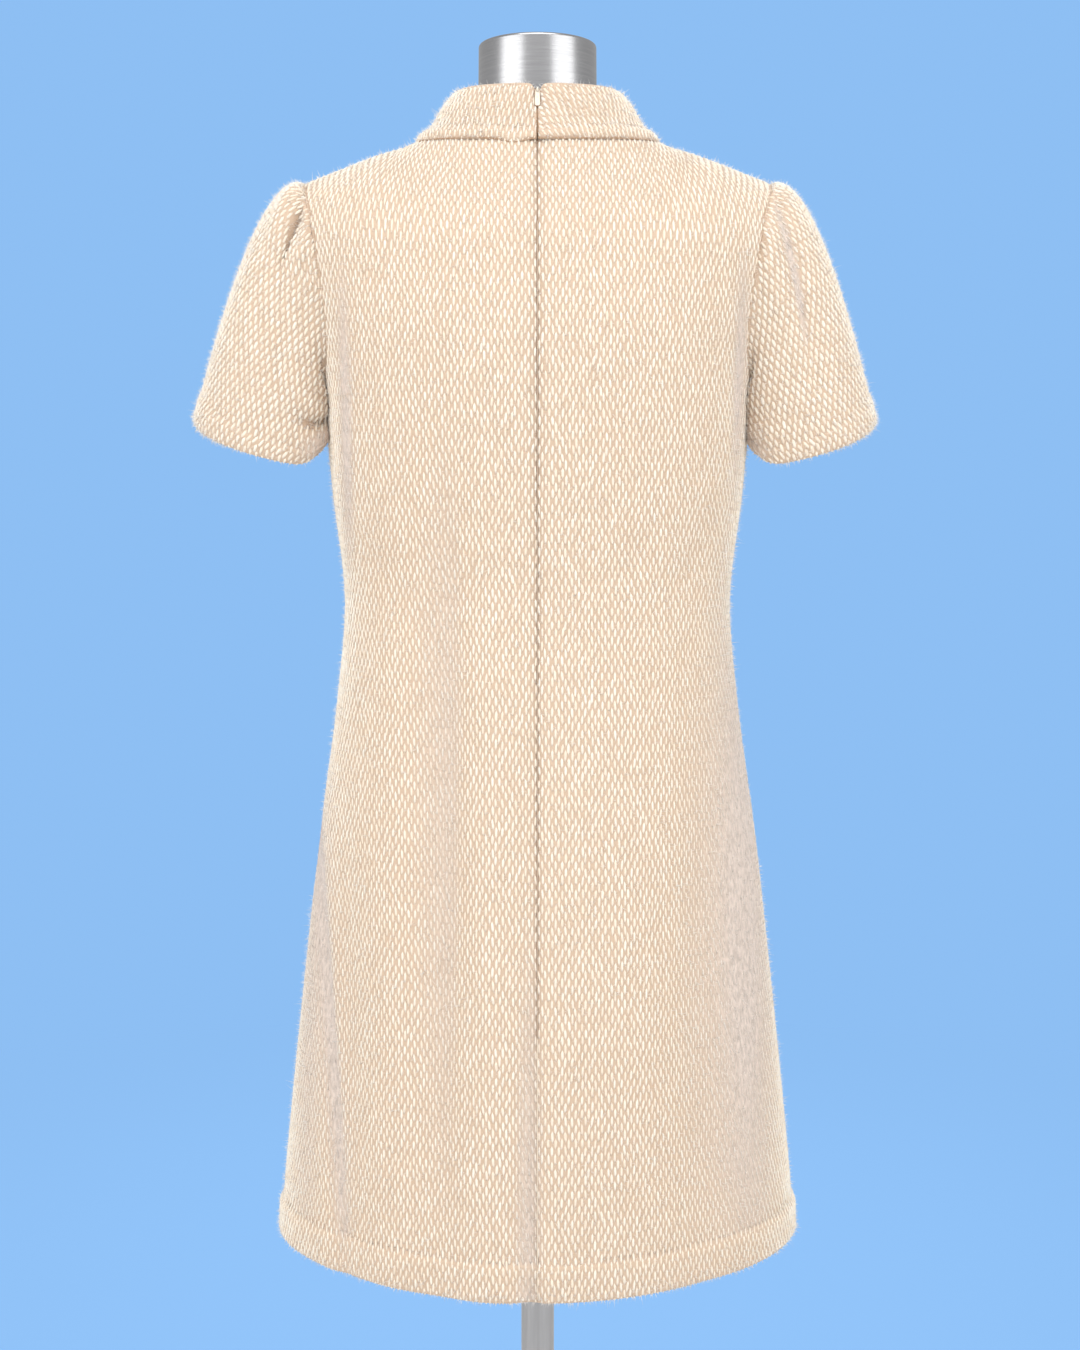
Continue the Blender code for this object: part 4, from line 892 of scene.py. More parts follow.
def running_length(points, axis):
    """Length from the first point along one axis of a grid."""
    gaps = np.linalg.norm(np.diff(points[..., :3], axis=axis), axis=-1)
    return np.concatenate([np.zeros_like(np.take(gaps, [0], axis)), np.cumsum(gaps, axis)], axis)


def grid_normals(points, ring=False):
    """Unit cross product of the step across and the step along at every grid point."""
    points = points[..., :3]
    if ring:
        across = np.roll(points, -1, 1) - np.roll(points, 1, 1)
    else:
        across = np.gradient(points, axis=1)
    return unit(np.cross(across, np.gradient(points, axis=0)))


def read_rows(points, place):
    """Read a grid between its rows: a blend of the two nearest rows."""
    low = np.clip(place.astype(int), 0, len(points) - 2)
    share = (place - low).reshape(-1, *[1] * (points.ndim - 1))
    return points[low] * (1 - share) + points[low + 1] * share


def measure_cloth(face, origin):
    """Re-read a panel at even steps: along by the length of the origin column, across by that of each row."""
    points = np.concatenate([face, grid_normals(face)], -1)
    along = running_length(points, 0)[:, origin]
    count = round(along[-1] / MEASURE)
    places = np.interp(np.linspace(0, along[-1], count + 1), along, np.arange(len(along)))
    rows = read_rows(points, places)
    return even_cloth(rows, np.ones(rows.shape[:2]), origin, along[-1] / count)


def measure_sleeve(face, origin, way, first_outside):
    """Re-read a sleeve so that its rows lie level across the arm, as the cloth's weft does.

    A column's level grows by its rise along the arm, and by a share of its length where it turns over at the
    puffed head. In the turned-up rows before the first outside row it grows by the length alone.
    """
    points = np.concatenate([face, grid_normals(face, ring=True)], -1)
    points = np.concatenate([points, points[:, :1]], 1)
    length = running_length(points, 0)
    steps = np.diff(length, axis=0)
    grow = np.maximum(np.diff(points[..., :3] @ way, axis=0), LEVEL_SHARE * steps)
    grow[:first_outside] = steps[:first_outside]
    level = np.concatenate([np.zeros_like(grow[:1]), np.cumsum(grow, 0)])
    level += points[first_outside, :, :3] @ way - level[first_outside]
    count = round(length[-1, origin] / MEASURE)
    step = length[-1, origin] / count
    slices = np.interp(np.arange(count + 1) * step, length[:, origin], level[:, origin])
    above = np.arange(slices[-1] + step, level[-1].max(), step)
    slices = np.concatenate([slices, above])
    rows = np.stack([
        read_rows(points[:, column], np.interp(slices, level[:, column], np.arange(len(points))))
        for column in range(points.shape[1])
    ], 1)
    inside = (slices[:, None] >= level[0]) & (slices[:, None] <= level[-1])
    return even_cloth(rows, inside, origin, step)


def even_cloth(rows, inside, origin, step):
    """Re-read each row at even steps of its length from the origin column.

    The grid holds the place, the hollowness, the normal and a last number that is 0 past the cloth's edge,
    where the place stays on the edge.
    """
    rows = np.concatenate([rows, inside[..., None]], -1)
    across = running_length(rows, 1)
    across -= across[:, origin:origin + 1]
    first = np.floor(across.min() / MEASURE) - 2
    places = np.arange(first, np.ceil(across.max() / MEASURE) + 3) * MEASURE
    columns = np.arange(rows.shape[1])
    even = np.stack([
        read_rows(row, np.interp(places, length, columns)) for row, length in zip(rows, across)
    ])
    even[..., -1] *= (places >= across[:, :1]) & (places <= across[:, -1:])
    return Cloth(even, first * MEASURE, step)


def cloth_length(cloth):
    """Length of the cloth along its columns."""
    return (len(cloth.grid) - 1) * cloth.step


def read_cloth(cloth, across, along):
    """Read the even grid at the given measures: bilinear."""
    i = np.clip((across - cloth.first) / MEASURE, 0, cloth.grid.shape[1] - 1.001)
    j = np.clip(along / cloth.step, 0, cloth.grid.shape[0] - 1.001)
    i0, j0 = i.astype(int), j.astype(int)
    f, g = (i - i0)[..., None], (j - j0)[..., None]
    low = cloth.grid[j0, i0] * (1 - f) + cloth.grid[j0, i0 + 1] * f
    high = cloth.grid[j0 + 1, i0] * (1 - f) + cloth.grid[j0 + 1, i0 + 1] * f
    return low * (1 - g) + high * g


def on_cloth(cloth, across, along, height):
    """Points at the given measures on the cloth, raised along its normal."""
    found = read_cloth(cloth, across, along)
    return found[..., :3] + unit(found[..., 4:7]) * height[..., None]


# Meshes

def fill_mesh(name, points, faces, smooth_faces=True):
    """Make a mesh from an array of points and a list of face arrays, each with its own number of corners."""
    mesh = bpy.data.meshes.new(name)
    mesh.vertices.add(len(points))
    mesh.vertices.foreach_set("co", np.ascontiguousarray(points, np.float32).ravel())
    corners = np.concatenate([face.ravel() for face in faces]).astype(np.int32)
    totals = np.concatenate([np.full(len(face), face.shape[1]) for face in faces]).astype(np.int32)
    starts = (np.cumsum(totals) - totals).astype(np.int32)
    mesh.loops.add(len(corners))
    mesh.loops.foreach_set("vertex_index", corners)
    mesh.polygons.add(len(totals))
    mesh.polygons.foreach_set("loop_start", starts)
    mesh.polygons.foreach_set("loop_total", totals)
    mesh.polygons.foreach_set("use_smooth", np.full(len(totals), smooth_faces))
    mesh.update(calc_edges=True)
    return mesh


def add_number(mesh, name, values):
    """Store one number at each of a mesh's points."""
    attribute = mesh.attributes.new(name, "FLOAT", "POINT")
    attribute.data.foreach_set("value", values.astype(np.float32).ravel())


def grid_faces(rows, columns, ring=False, start=0):
    """Four-cornered faces of a grid; a ring's last column joins its first."""
    row, column = np.meshgrid(np.arange(rows - 1), np.arange(columns if ring else columns - 1), indexing="ij")
    after = (column + 1) % columns
    corners = [row * columns + column, row * columns + after,
               (row + 1) * columns + after, (row + 1) * columns + column]
    return start + np.stack(corners, -1).reshape(-1, 4)


def sheet_mesh(name, face, thickness, ring=False):
    """A closed sheet: the face, the same grid one thickness inside, and strips that close its edges.

    Its UV map holds the cloth's own measure in metres, across and along.
    """
    rows, columns = face.shape[:2]
    hollow = face[..., 3].ravel()
    face = face[..., :3]
    reverse = face - grid_normals(face, ring) * thickness
    count = rows * columns
    faces = [grid_faces(rows, columns, ring), grid_faces(rows, columns, ring, count)[:, ::-1]]
    first = np.arange(columns)
    last = first + (rows - 1) * columns
    for edge, flip in ((first, False), (last, True)):
        a = edge if ring else edge[:-1]
        b = np.roll(edge, -1) if ring else edge[1:]
        strip = np.stack([b, a, a + count, b + count], -1)
        faces.append(strip[:, ::-1] if flip else strip)
    if not ring:
        side = np.arange(rows) * columns
        for edge, flip in ((side, True), (side + columns - 1, False)):
            a, b = edge[:-1], edge[1:]
            strip = np.stack([b, a, a + count, b + count], -1)
            faces.append(strip[:, ::-1] if flip else strip)
    mesh = fill_mesh(name, np.concatenate([face.reshape(-1, 3), reverse.reshape(-1, 3)]), faces)
    across = running_length(face, 1)
    along = running_length(face, 0)
    measure = np.stack([across, along], -1).reshape(-1, 2)
    measure = np.concatenate([measure, measure])
    corners = np.empty(len(mesh.loops), np.int32)
    mesh.loops.foreach_get("vertex_index", corners)
    layer = mesh.uv_layers.new(name="measure")
    layer.uv.foreach_set("vector", measure[corners].astype(np.float32).ravel())
    add_number(mesh, "hollow", np.concatenate([hollow, hollow]))
    return mesh


# The weave: thick cream floats of the warp over a tan ground


def float_points(count, width, length, height, draw):
    """Corner points of each float: an end point, two rings of three and an end point."""
    width, length, height = (
        size * draw.uniform(*FLOAT_SIZES, count)[:, None] for size in (width, length, height)
    )
    points = np.zeros((count, FLOAT_CORNERS, 3))
    points[:, 0, 1] = -length[:, 0] / 2
    points[:, -1, 1] = length[:, 0] / 2
    points[:, [0, -1], 2] = FLOAT_TIP * height
    for ring, share in enumerate(FLOAT_RINGS):
        corner = slice(1 + 3 * ring, 4 + 3 * ring)
        points[:, corner, 0] = FLOAT_SECTION[:, 0] * width / 2
        points[:, corner, 1] = share * length / 2
        points[:, corner, 2] = FLOAT_SECTION[:, 1] * height
    return points


def float_faces(count):
    """Faces of each float: three at each end and three between the rings."""
    tips, sides = [], []
    for i in range(3):
        j = (i + 1) % 3
        tips += [[0, 1 + j, 1 + i], [7, 4 + i, 4 + j]]
        sides.append([1 + i, 1 + j, 4 + j, 4 + i])
    starts = np.arange(count)[:, None, None] * FLOAT_CORNERS
    return [(starts + np.array(tips)).reshape(-1, 3), (starts + np.array(sides)).reshape(-1, 4)]


def weave_places(cloth, sizes, grain, draw, low, high):
    """Middles of the floats: columns half a repeat apart in turn, sheared by the grain, inside the cloth."""
    slope = grain.slope
    pitch, repeat = grain.close * sizes.column_pitch, grain.close * sizes.repeat
    reach = max(abs(cloth.first), cloth.first + cloth.grid.shape[1] * MEASURE) + high
    k = np.arange(-int(reach / pitch), int(reach / pitch) + 1)
    spare = int(abs(slope) * reach / repeat) + 2
    rows = np.arange(-spare, int(high / repeat) + spare)
    k, rows = (grid.ravel() for grid in np.meshgrid(k, rows))
    along = (rows + 0.5 * (k % 2)) * repeat
    across = (k + 0.5) * pitch - (along - (low + high) / 2) * np.tan(grain.lean(k * pitch))
    across = across + draw.normal(0, COLUMN_DRIFT * pitch, len(k))
    along = along + slope * across + draw.normal(0, ROW_DRIFT * repeat, len(k))
    past_end = CLOTH_SPARE * repeat
    inside = (along > low - past_end) & (along < high + past_end)
    inside &= read_cloth(cloth, across, np.clip(along, low, high))[:, -1] > 0.5
    return across[inside], along[inside]


def weave(name, cloth, sizes, low, high, seed, grain, part=None, plump=(1, 1, 1)):
    """Lay floats over a cloth between two measures along it; at the cloth's edges they are cut short.

    The part says which places belong, and the floats' width, length and height are multiplied by plump.
    """
    draw = np.random.default_rng(seed)
    across, along = weave_places(cloth, sizes, grain, draw, low, high)
    hollow = read_cloth(cloth, across, along)[:, 3]
    covered = BARE_FROM + (BARE_TO - BARE_FROM) * draw.uniform(0, 1, len(hollow))
    keep = (covered > hollow) & (hollow > PLEAT_BARE)
    if part is not None:
        keep &= part(across, along)
    across, along, hollow = across[keep], along[keep], np.maximum(hollow[keep], 0)
    count = len(across)
    points = float_points(count, sizes.float_width, sizes.float_length, sizes.float_height, draw) * plump
    points *= 1 - np.array(HOLLOW_FLOAT) * hollow[:, None, None]
    wave = TURN_WAVE * np.sin(across / TURN_WAVE_ACROSS + 2 * np.sin(along / TURN_WAVE_ALONG))
    turn = (grain.lean(across) + wave + HOLLOW_TURN * hollow + draw.normal(0, TURN_DRIFT, count))[:, None]
    a = across[:, None] + points[..., 0] * np.cos(turn) - points[..., 1] * np.sin(turn)
    b = along[:, None] + points[..., 0] * np.sin(turn) + points[..., 1] * np.cos(turn)
    placed = on_cloth(cloth, a, np.clip(b, low, high), points[..., 2])
    mesh = fill_mesh(name, placed.reshape(-1, 3), float_faces(count))
    add_number(mesh, "tone", np.repeat(draw.uniform(0, 1, count), FLOAT_CORNERS))
    add_number(mesh, "hollow", np.repeat(hollow, FLOAT_CORNERS))
    add_number(mesh, "rim", np.tile([1, 1, 0, 1, 1, 0, 1, 1], count))
    return mesh


def nap(name, cloth, sizes, low, high, density, seed, part=None):
    """Loose fibres: thin three-sided spikes that lean any way, or along the cloth where the nap is raised."""
    draw = np.random.default_rng(seed)
    width = cloth.grid.shape[1] * MEASURE
    count = int(width * (high - low) * density)
    along = draw.uniform(low, high, count)
    across = cloth.first + draw.uniform(0, width, count)
    keep = read_cloth(cloth, across, along)[:, -1] > 0.5
    if part is not None:
        keep &= part(across, along)
    across, along = across[keep], along[keep]
    count = len(across)
    raised = read_cloth(cloth, across, along)[:, 3] > BARE_FROM
    length = sizes.nap_length * draw.uniform(*NAP_LENGTHS, count)
    length *= np.where((draw.uniform(0, 1, count) < LONG_NAP_SHARE) & ~raised, LONG_NAP, 1.0)
    way = draw.uniform(0, 2 * pi, count)
    combed = np.sign(way - pi) * (pi / 2 + draw.normal(0, RAISED_NAP_DRIFT, count))
    way = np.where(raised, combed, way)
    lean = np.where(raised, draw.uniform(*RAISED_NAP_LEANS, count), draw.uniform(*NAP_LEANS, count))
    radius = sizes.nap_width / 2
    turns = way[:, None] + np.array([0, 2 * pi / 3, 4 * pi / 3])
    a = np.concatenate([across[:, None] + radius * np.cos(turns),
                        (across + length * np.sin(lean) * np.cos(way))[:, None]], 1)
    b = np.concatenate([along[:, None] + radius * np.sin(turns),
                        (along + length * np.sin(lean) * np.sin(way))[:, None]], 1)
    top = np.where(raised, RAISED_NAP_FROM, 1.0) * sizes.float_height + length * np.cos(lean)
    height = np.concatenate([np.zeros((count, 3)), top[:, None]], 1)
    points = on_cloth(cloth, a, b, height)
    starts = np.arange(count)[:, None, None] * 4
    faces = (starts + np.array([[0, 1, 3], [1, 2, 3], [2, 0, 3], [2, 1, 0]])).reshape(-1, 3)
    return fill_mesh(name, points.reshape(-1, 3), [faces])


def tube(name, path, radius, corners=6):
    """A thin closed tube along a path: a ring of corners across it at every point, closed by a point."""
    forward = unit(np.gradient(path, axis=0))
    helper = np.where(np.abs(forward[:, 2:]) > 0.9, [[1.0, 0, 0]], [[0, 0, 1.0]])
    side = unit(np.cross(forward, helper))
    up = np.cross(forward, side)
    turn = np.linspace(0, 2 * pi, corners, endpoint=False)
    ring = side[:, None] * np.cos(turn)[:, None] + up[:, None] * np.sin(turn)[:, None]
    rings = path[:, None] + radius * ring
    count = rings.shape[0] * corners
    points = np.concatenate([rings.reshape(-1, 3), path[:1], path[-1:]])
    i = np.arange(corners)
    j = (i + 1) % corners
    start = np.stack([j, i, np.full(corners, count)], -1)
    last = count - corners
    end = np.stack([last + i, last + j, np.full(corners, count + 1)], -1)
    return fill_mesh(name, points, [grid_faces(rings.shape[0], corners, True), start, end])


# Materials

def add_node(tree, kind, inputs=(), **settings):
    """Add a node with its settings and with values on its input sockets."""
    node = tree.nodes.new(kind)
    for key, value in settings.items():
        setattr(node, key, value)
    for key, value in dict(inputs).items():
        node.inputs[key].default_value = value
    return node


def new_material(name, sockets):
    """A Principled material with constants set on its own sockets."""
    material = bpy.data.materials.new(name)
    material.use_nodes = True
    shader = material.node_tree.nodes["Principled BSDF"]
    for key, value in sockets.items():
        shader.inputs[key].default_value = value
    return material, material.node_tree, shader


def blend_colours(tree, share, low, high):
    """Mix two colours by a share."""
    node = add_node(tree, "ShaderNodeMix", data_type="RGBA")
    tree.links.new(share, node.inputs["Factor"])
    for socket, colour in ((node.inputs["A"], low), (node.inputs["B"], high)):
        if isinstance(colour, bpy.types.NodeSocket):
            tree.links.new(colour, socket)
        else:
            socket.default_value = (*colour, 1)
    return node.outputs["Result"]


def noise(tree, vector, scale, detail=2.0, stretch=None):
    """Noise texture read at the given vector, which may be stretched first."""
    if stretch:
        mapping = add_node(tree, "ShaderNodeMapping", {"Scale": stretch})
        tree.links.new(vector, mapping.inputs["Vector"])
        vector = mapping.outputs["Vector"]
    node = add_node(tree, "ShaderNodeTexNoise", {"Scale": scale, "Detail": detail})
    tree.links.new(vector, node.inputs["Vector"])
    return node.outputs["Fac"]


def spread(tree, value, low, high, top=1.0, bottom=0.0):
    """Stretch a value so that low becomes the bottom and high becomes the top."""
    node = add_node(tree, "ShaderNodeMapRange", {
        "From Min": low, "From Max": high, "To Min": bottom, "To Max": top,
    })
    tree.links.new(value, node.inputs["Value"])
    return node.outputs["Result"]


def object_place(tree):
    """The place on the piece, in metres."""
    return add_node(tree, "ShaderNodeTexCoord").outputs["Object"]


def stored(tree, name):
    """A number that the mesh's points carry."""
    return add_node(tree, "ShaderNodeAttribute", attribute_name=name).outputs["Fac"]


def ribs(tree, place, scale, distortion, way):
    """Wave texture across the given way."""
    sockets = {"Scale": scale, "Distortion": distortion}
    node = add_node(tree, "ShaderNodeTexWave", sockets, bands_direction=way)
    tree.links.new(place, node.inputs["Vector"])
    return node.outputs["Fac"]


def times(colour, share):
    """A colour made darker or lighter by a share."""
    return [share * number for number in colour]


def bump(tree, shader, height, distance, strength):
    """Raise the surface by a height that only its shading shows."""
    node = add_node(tree, "ShaderNodeBump", {"Distance": distance, "Strength": strength})
    tree.links.new(height, node.inputs["Height"])
    tree.links.new(node.outputs["Normal"], shader.inputs["Normal"])


def wool_material(name, low, high, nap, rim=None):
    """Wool: two shades by yarn, a faint drift over the cloth, greyer nap and painted shade in the troughs,
    and fine fibres.

    A float's colour passes to the rim's colour towards its edges.
    """
    material, tree, shader = new_material(name, {
        "Roughness": 0.92, "Specular IOR Level": 0.12, "Sheen Weight": 0.55, "Sheen Roughness": 0.35,
        "Sheen Tint": (0.94, 0.95, 1.0, 1),
    })
    place = object_place(tree)
    colour = blend_colours(tree, stored(tree, "tone"), low, high)
    drift = spread(tree, noise(tree, place, scale=16.0, detail=3.0), 0.35, 0.70, top=0.3)
    colour = blend_colours(tree, drift, colour, low)
    if rim:
        colour = blend_colours(tree, spread(tree, stored(tree, "rim"), 0.50, 1.0), colour, rim)
    hollow = stored(tree, "hollow")
    streak = noise(tree, place, scale=460.0, detail=3.0, stretch=(1.0, 1.0, 0.35))
    # painted shade: where the cloth is hollow its colour passes to the darker, greyer nap-and-shade colour
    combed = blend_colours(tree, spread(tree, streak, 0.35, 0.65), times(nap, 0.76), times(nap, 1.08))
    colour = blend_colours(tree, spread(tree, hollow, 0.10, 0.85, top=0.85), colour, combed)
    fibre = noise(tree, place, scale=1500.0, detail=3.0)
    shade = spread(tree, fibre, 0.3, 0.7, top=1.05, bottom=0.92)
    fine = add_node(tree, "ShaderNodeMix", data_type="RGBA", blend_type="MULTIPLY")
    fine.inputs["Factor"].default_value = 1.0
    tree.links.new(colour, fine.inputs["A"])
    tree.links.new(shade, fine.inputs["B"])
    tree.links.new(fine.outputs["Result"], shader.inputs["Base Color"])
    relief = add_node(tree, "ShaderNodeMath", operation="MULTIPLY_ADD")
    tree.links.new(streak, relief.inputs[0])
    tree.links.new(spread(tree, hollow, 0.10, 0.85, top=3.0), relief.inputs[1])
    tree.links.new(fibre, relief.inputs[2])
    bump(tree, shader, relief.outputs[0], distance=0.0003, strength=0.6)
    return material


def material_named(name):
    """The add-on's materials, made when first asked for."""
    found = bpy.data.materials.get(name)
    return found or MATERIALS[name]()


def float_wool():
    """Cream wool of the floats."""
    look = bpy.context.scene.dress_look
    return wool_material("cream_float_wool", look.cream, look.cream_light, look.nap_and_trough_shade, look.tan_light)


def ground_wool():
    """Tan wool of the ground and of most seams."""
    look = bpy.context.scene.dress_look
    return wool_material("tan_ground_wool", look.tan, look.tan_light, look.nap_and_trough_shade)


def nap_wool():
    """Loose fibres of the nap."""
    look = bpy.context.scene.dress_look
    material, _, _ = new_material("cream_nap_wool", {
        "Base Color": (*look.nap, 1), "Roughness": 0.9, "Specular IOR Level": 0.1, "Sheen Weight": 0.2,
    })
    return material


def zip_tape_cloth():
    """Narrow woven tape: a fine twill of slanting ribs."""
    material, tree, shader = new_material("zip_tape_cloth", {"Roughness": 0.85, "Sheen Weight": 0.1})
    rib = ribs(tree, object_place(tree), 600.0, 0.5, "DIAGONAL")
    look = bpy.context.scene.dress_look
    tree.links.new(blend_colours(tree, rib, look.tape, times(look.tape, 0.72)), shader.inputs["Base Color"])
    bump(tree, shader, rib, distance=0.0001, strength=0.5)
    return material


def ivory_enamel():
    """Ivory enamel on metal, a little worn and uneven."""
    material, tree, shader = new_material("ivory_enamel", {
        "Roughness": 0.35, "Coat Weight": 0.3, "Coat Roughness": 0.2,
    })
    wear = spread(tree, noise(tree, object_place(tree), scale=900.0, detail=3.0), 0.55, 0.8)
    look = bpy.context.scene.dress_look
    tree.links.new(blend_colours(tree, wear, look.enamel, WORN_ENAMEL), shader.inputs["Base Color"])
    return material


def brushed_steel(name, stretch, roughness, dark, light):
    """Brushed steel: fine scratches drawn out along one way."""
    material, tree, shader = new_material(name, {
        "Metallic": 1.0, "Roughness": roughness, "Anisotropic": 0.5,
    })
    scratch = noise(tree, object_place(tree), scale=400.0, detail=4.0, stretch=stretch)
    tree.links.new(blend_colours(tree, scratch, dark, light), shader.inputs["Base Color"])
    bump(tree, shader, scratch, distance=0.00005, strength=0.25)
    return material


def cap_steel():
    """Brighter steel of the neck cap, brushed round it."""
    return brushed_steel("neck_cap_steel", (0.06, 0.06, 3.0), 0.25, (0.37, 0.37, 0.38), (0.57, 0.57, 0.58))


def stand_steel():
    """Duller steel of the pole and the base, brushed along the pole."""
    return brushed_steel("stand_steel", (1.0, 1.0, 0.05), 0.42, (0.36, 0.36, 0.37), (0.50, 0.50, 0.51))


def form_jersey():
    """Jersey cover of the form: fine knit ribs."""
    material, tree, shader = new_material("form_jersey", {
        "Roughness": 0.9, "Specular IOR Level": 0.15, "Sheen Weight": 0.2,
    })
    place = object_place(tree)
    knit = add_node(tree, "ShaderNodeMath", operation="MULTIPLY")
    tree.links.new(ribs(tree, place, 380.0, 0.6, "X"), knit.inputs[0])
    tree.links.new(ribs(tree, place, 300.0, 0.6, "Z"), knit.inputs[1])
    look = bpy.context.scene.dress_look
    colour = blend_colours(tree, knit.outputs[0], times(look.jersey, 0.8), look.jersey)
    tree.links.new(colour, shader.inputs["Base Color"])
    bump(tree, shader, knit.outputs[0], distance=0.0002, strength=0.5)
    return material


def seen_directly(tree, otherwise, seen):
    """One shader for what the camera sees and another for the light it throws."""
    path = add_node(tree, "ShaderNodeLightPath")
    mix = add_node(tree, "ShaderNodeMixShader")
    tree.links.new(path.outputs["Is Camera Ray"], mix.inputs["Fac"])
    tree.links.new(otherwise, mix.inputs[1])
    tree.links.new(seen, mix.inputs[2])
    return mix.outputs[0]


def floor_paint(look):
    """Pale floor that passes into the backdrop's colour with distance.

    Half of what shows of it under the dress is glow, so shadows are faint there, and the light that it
    throws back on the dress is plain.
    """
    material, tree, shader = new_material("pale_floor", {
        "Base Color": (*look.floor, 1), "Roughness": 0.9, "Specular IOR Level": 0.1,
    })
    plain = add_node(tree, "ShaderNodeBsdfDiffuse", {"Color": (*FLOOR_THROWS, 1)})
    glow = add_node(tree, "ShaderNodeEmission", {"Color": (*look.floor, 1)})
    part = add_node(tree, "ShaderNodeMixShader")
    away = add_node(tree, "ShaderNodeVectorMath", operation="LENGTH")
    tree.links.new(object_place(tree), away.inputs[0])
    tree.links.new(spread(tree, away.outputs["Value"], *FLOOR_FADE, *FLOOR_GLOW), part.inputs["Fac"])
    tree.links.new(shader.outputs[0], part.inputs[1])
    tree.links.new(glow.outputs[0], part.inputs[2])
    tree.links.new(seen_directly(tree, plain.outputs[0], part.outputs[0]),
                   tree.nodes["Material Output"].inputs["Surface"])
    return material


def painted_seam_shadow():
    """Painted shadow: brown for the shade deep in the neck seam and in the slit at the top of the centre back
    seam.
    """
    look = bpy.context.scene.dress_look
    material, tree, shader = new_material("painted_seam_shadow", {"Roughness": 0.95, "Specular IOR Level": 0.1})
    patch = spread(tree, noise(tree, object_place(tree), scale=240.0, detail=3.0), 0.35, 0.65)
    colour = blend_colours(tree, patch, look.shade, times(look.tan, 0.7))
    tree.links.new(colour, shader.inputs["Base Color"])
    return material


def pull_edge():
    """Bare brown metal round the enamel of the pull."""
    material, _, _ = new_material("pull_edge", {
        "Base Color": (*BARE_METAL, 1), "Metallic": 0.4, "Roughness": 0.5,
    })
    return material


def zip_coil():
    """Nylon of the zip's coil."""
    look = bpy.context.scene.dress_look
    material, _, _ = new_material("zip_coil", {"Base Color": (*look.coil, 1), "Roughness": 0.5})
    return material


MATERIALS = {
    "painted_seam_shadow": painted_seam_shadow,
    "pull_edge": pull_edge,
    "zip_coil": zip_coil,
    "cream_float_wool": float_wool,
    "tan_ground_wool": ground_wool,
    "cream_nap_wool": nap_wool,
    "zip_tape_cloth": zip_tape_cloth,
    "ivory_enamel": ivory_enamel,
    "neck_cap_steel": cap_steel,
    "stand_steel": stand_steel,
    "form_jersey": form_jersey,
}


# Pieces

def add_piece(mesh, material, nodes=(), body=ROOT):
    """Link a finished mesh as a piece of its name, give it its material and let it ride on its body."""
    piece = bpy.data.objects.new(mesh.name, mesh)
    bpy.context.scene.collection.objects.link(piece)
    mesh.materials.append(material_named(material))
    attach(piece, body)
    if nodes:
        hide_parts(*nodes)
    return piece


def seam_sunk(face, left, right):
    """Let the cloth roll in at its two seams: it sinks by a bell of the distance to each."""
    across = running_length(face, 1)
    sink = np.zeros(across.shape)
    if left:
        sink += SEAM_SINK * bell(across / SEAM_SINK_WIDTH)
    if right:
        sink += SEAM_SINK * bell((across[:, -1:] - across) / SEAM_SINK_WIDTH)
    face[..., :3] -= grid_normals(face) * sink[..., None]
    return face


def straight(across):
    """The weave's columns run straight along the cloth."""
    return 0 * across


def cover(node, ending, cloth, reach, grain, seed, fuzz=1.0, plump=(1, 1, 1), part=None, strips=()):
    """Lay floats and nap over a cloth within its reach (low, high), with more nap in the strips; gives them.

    Fuzz multiplies the number of loose fibres and plump the floats' sizes.
    """
    sizes = bpy.context.scene.dress_weave
    density = fuzz * sizes.nap_per_area
    mesh = weave(f"{node}_floats{ending}", cloth, sizes, *reach, seed, grain, part, plump)
    pieces = [add_piece(mesh, "cream_float_wool")]
    for number, strip in enumerate((Strip("", *reach, 1.0), *strips), 1):
        mesh = nap(f"{node}_{strip.name}nap{ending}", cloth, sizes, strip.low, strip.high,
                   strip.fuzz * density, seed + number, part)
        pieces.append(add_piece(mesh, "cream_nap_wool"))
    return pieces


def make_cloth_piece(node, face, covers, ring=False):
    """The sheet of one cut piece of the dress, with all that its covers lay on it.

    Each cover is a dictionary of what the function cover asks for.
    """
    sheet = add_piece(sheet_mesh(node + "_cloth", face, CLOTH, ring), "tan_ground_wool", [node])
    pieces = [piece for settings in covers for piece in cover(node, **settings)]


def panel_columns(count):
    """Places of the columns from beside the centre to the side seam, finer beside the seam."""
    return np.concatenate([np.linspace(0, EVEN_COLUMNS_TO, count)[1:], SEAM_COLUMNS])


class DRESS_OT_backs(bpy.types.Operator):
    """Build the two halves of the back with their weave and nap"""
    bl_idname = "dress.backs"
    bl_label = "Backs"

    def execute(self, context):
        shares = np.concatenate([[BESIDE_CENTRE], panel_columns(42)])
        for hand, node in ((LEFT, "back_left"), (RIGHT, "back_right")):
            s = hand * shares
            s = s[::-1] if hand == LEFT else s
            face = seam_sunk(body_cloth(BACK, s), hand == LEFT, hand == RIGHT)
            cloth = measure_cloth(face, len(s) - 1 if hand == LEFT else 0)
            make_cloth_piece(node, face, [dict(
                ending="", cloth=cloth, reach=(HEM_OUTSIDE, cloth_length(cloth)),
                grain=Grain(straight, BACK_SLOPE[hand], 1), seed=SEEDS[node], strips=HEM_STRIPS,
            )])
        return {"FINISHED"}


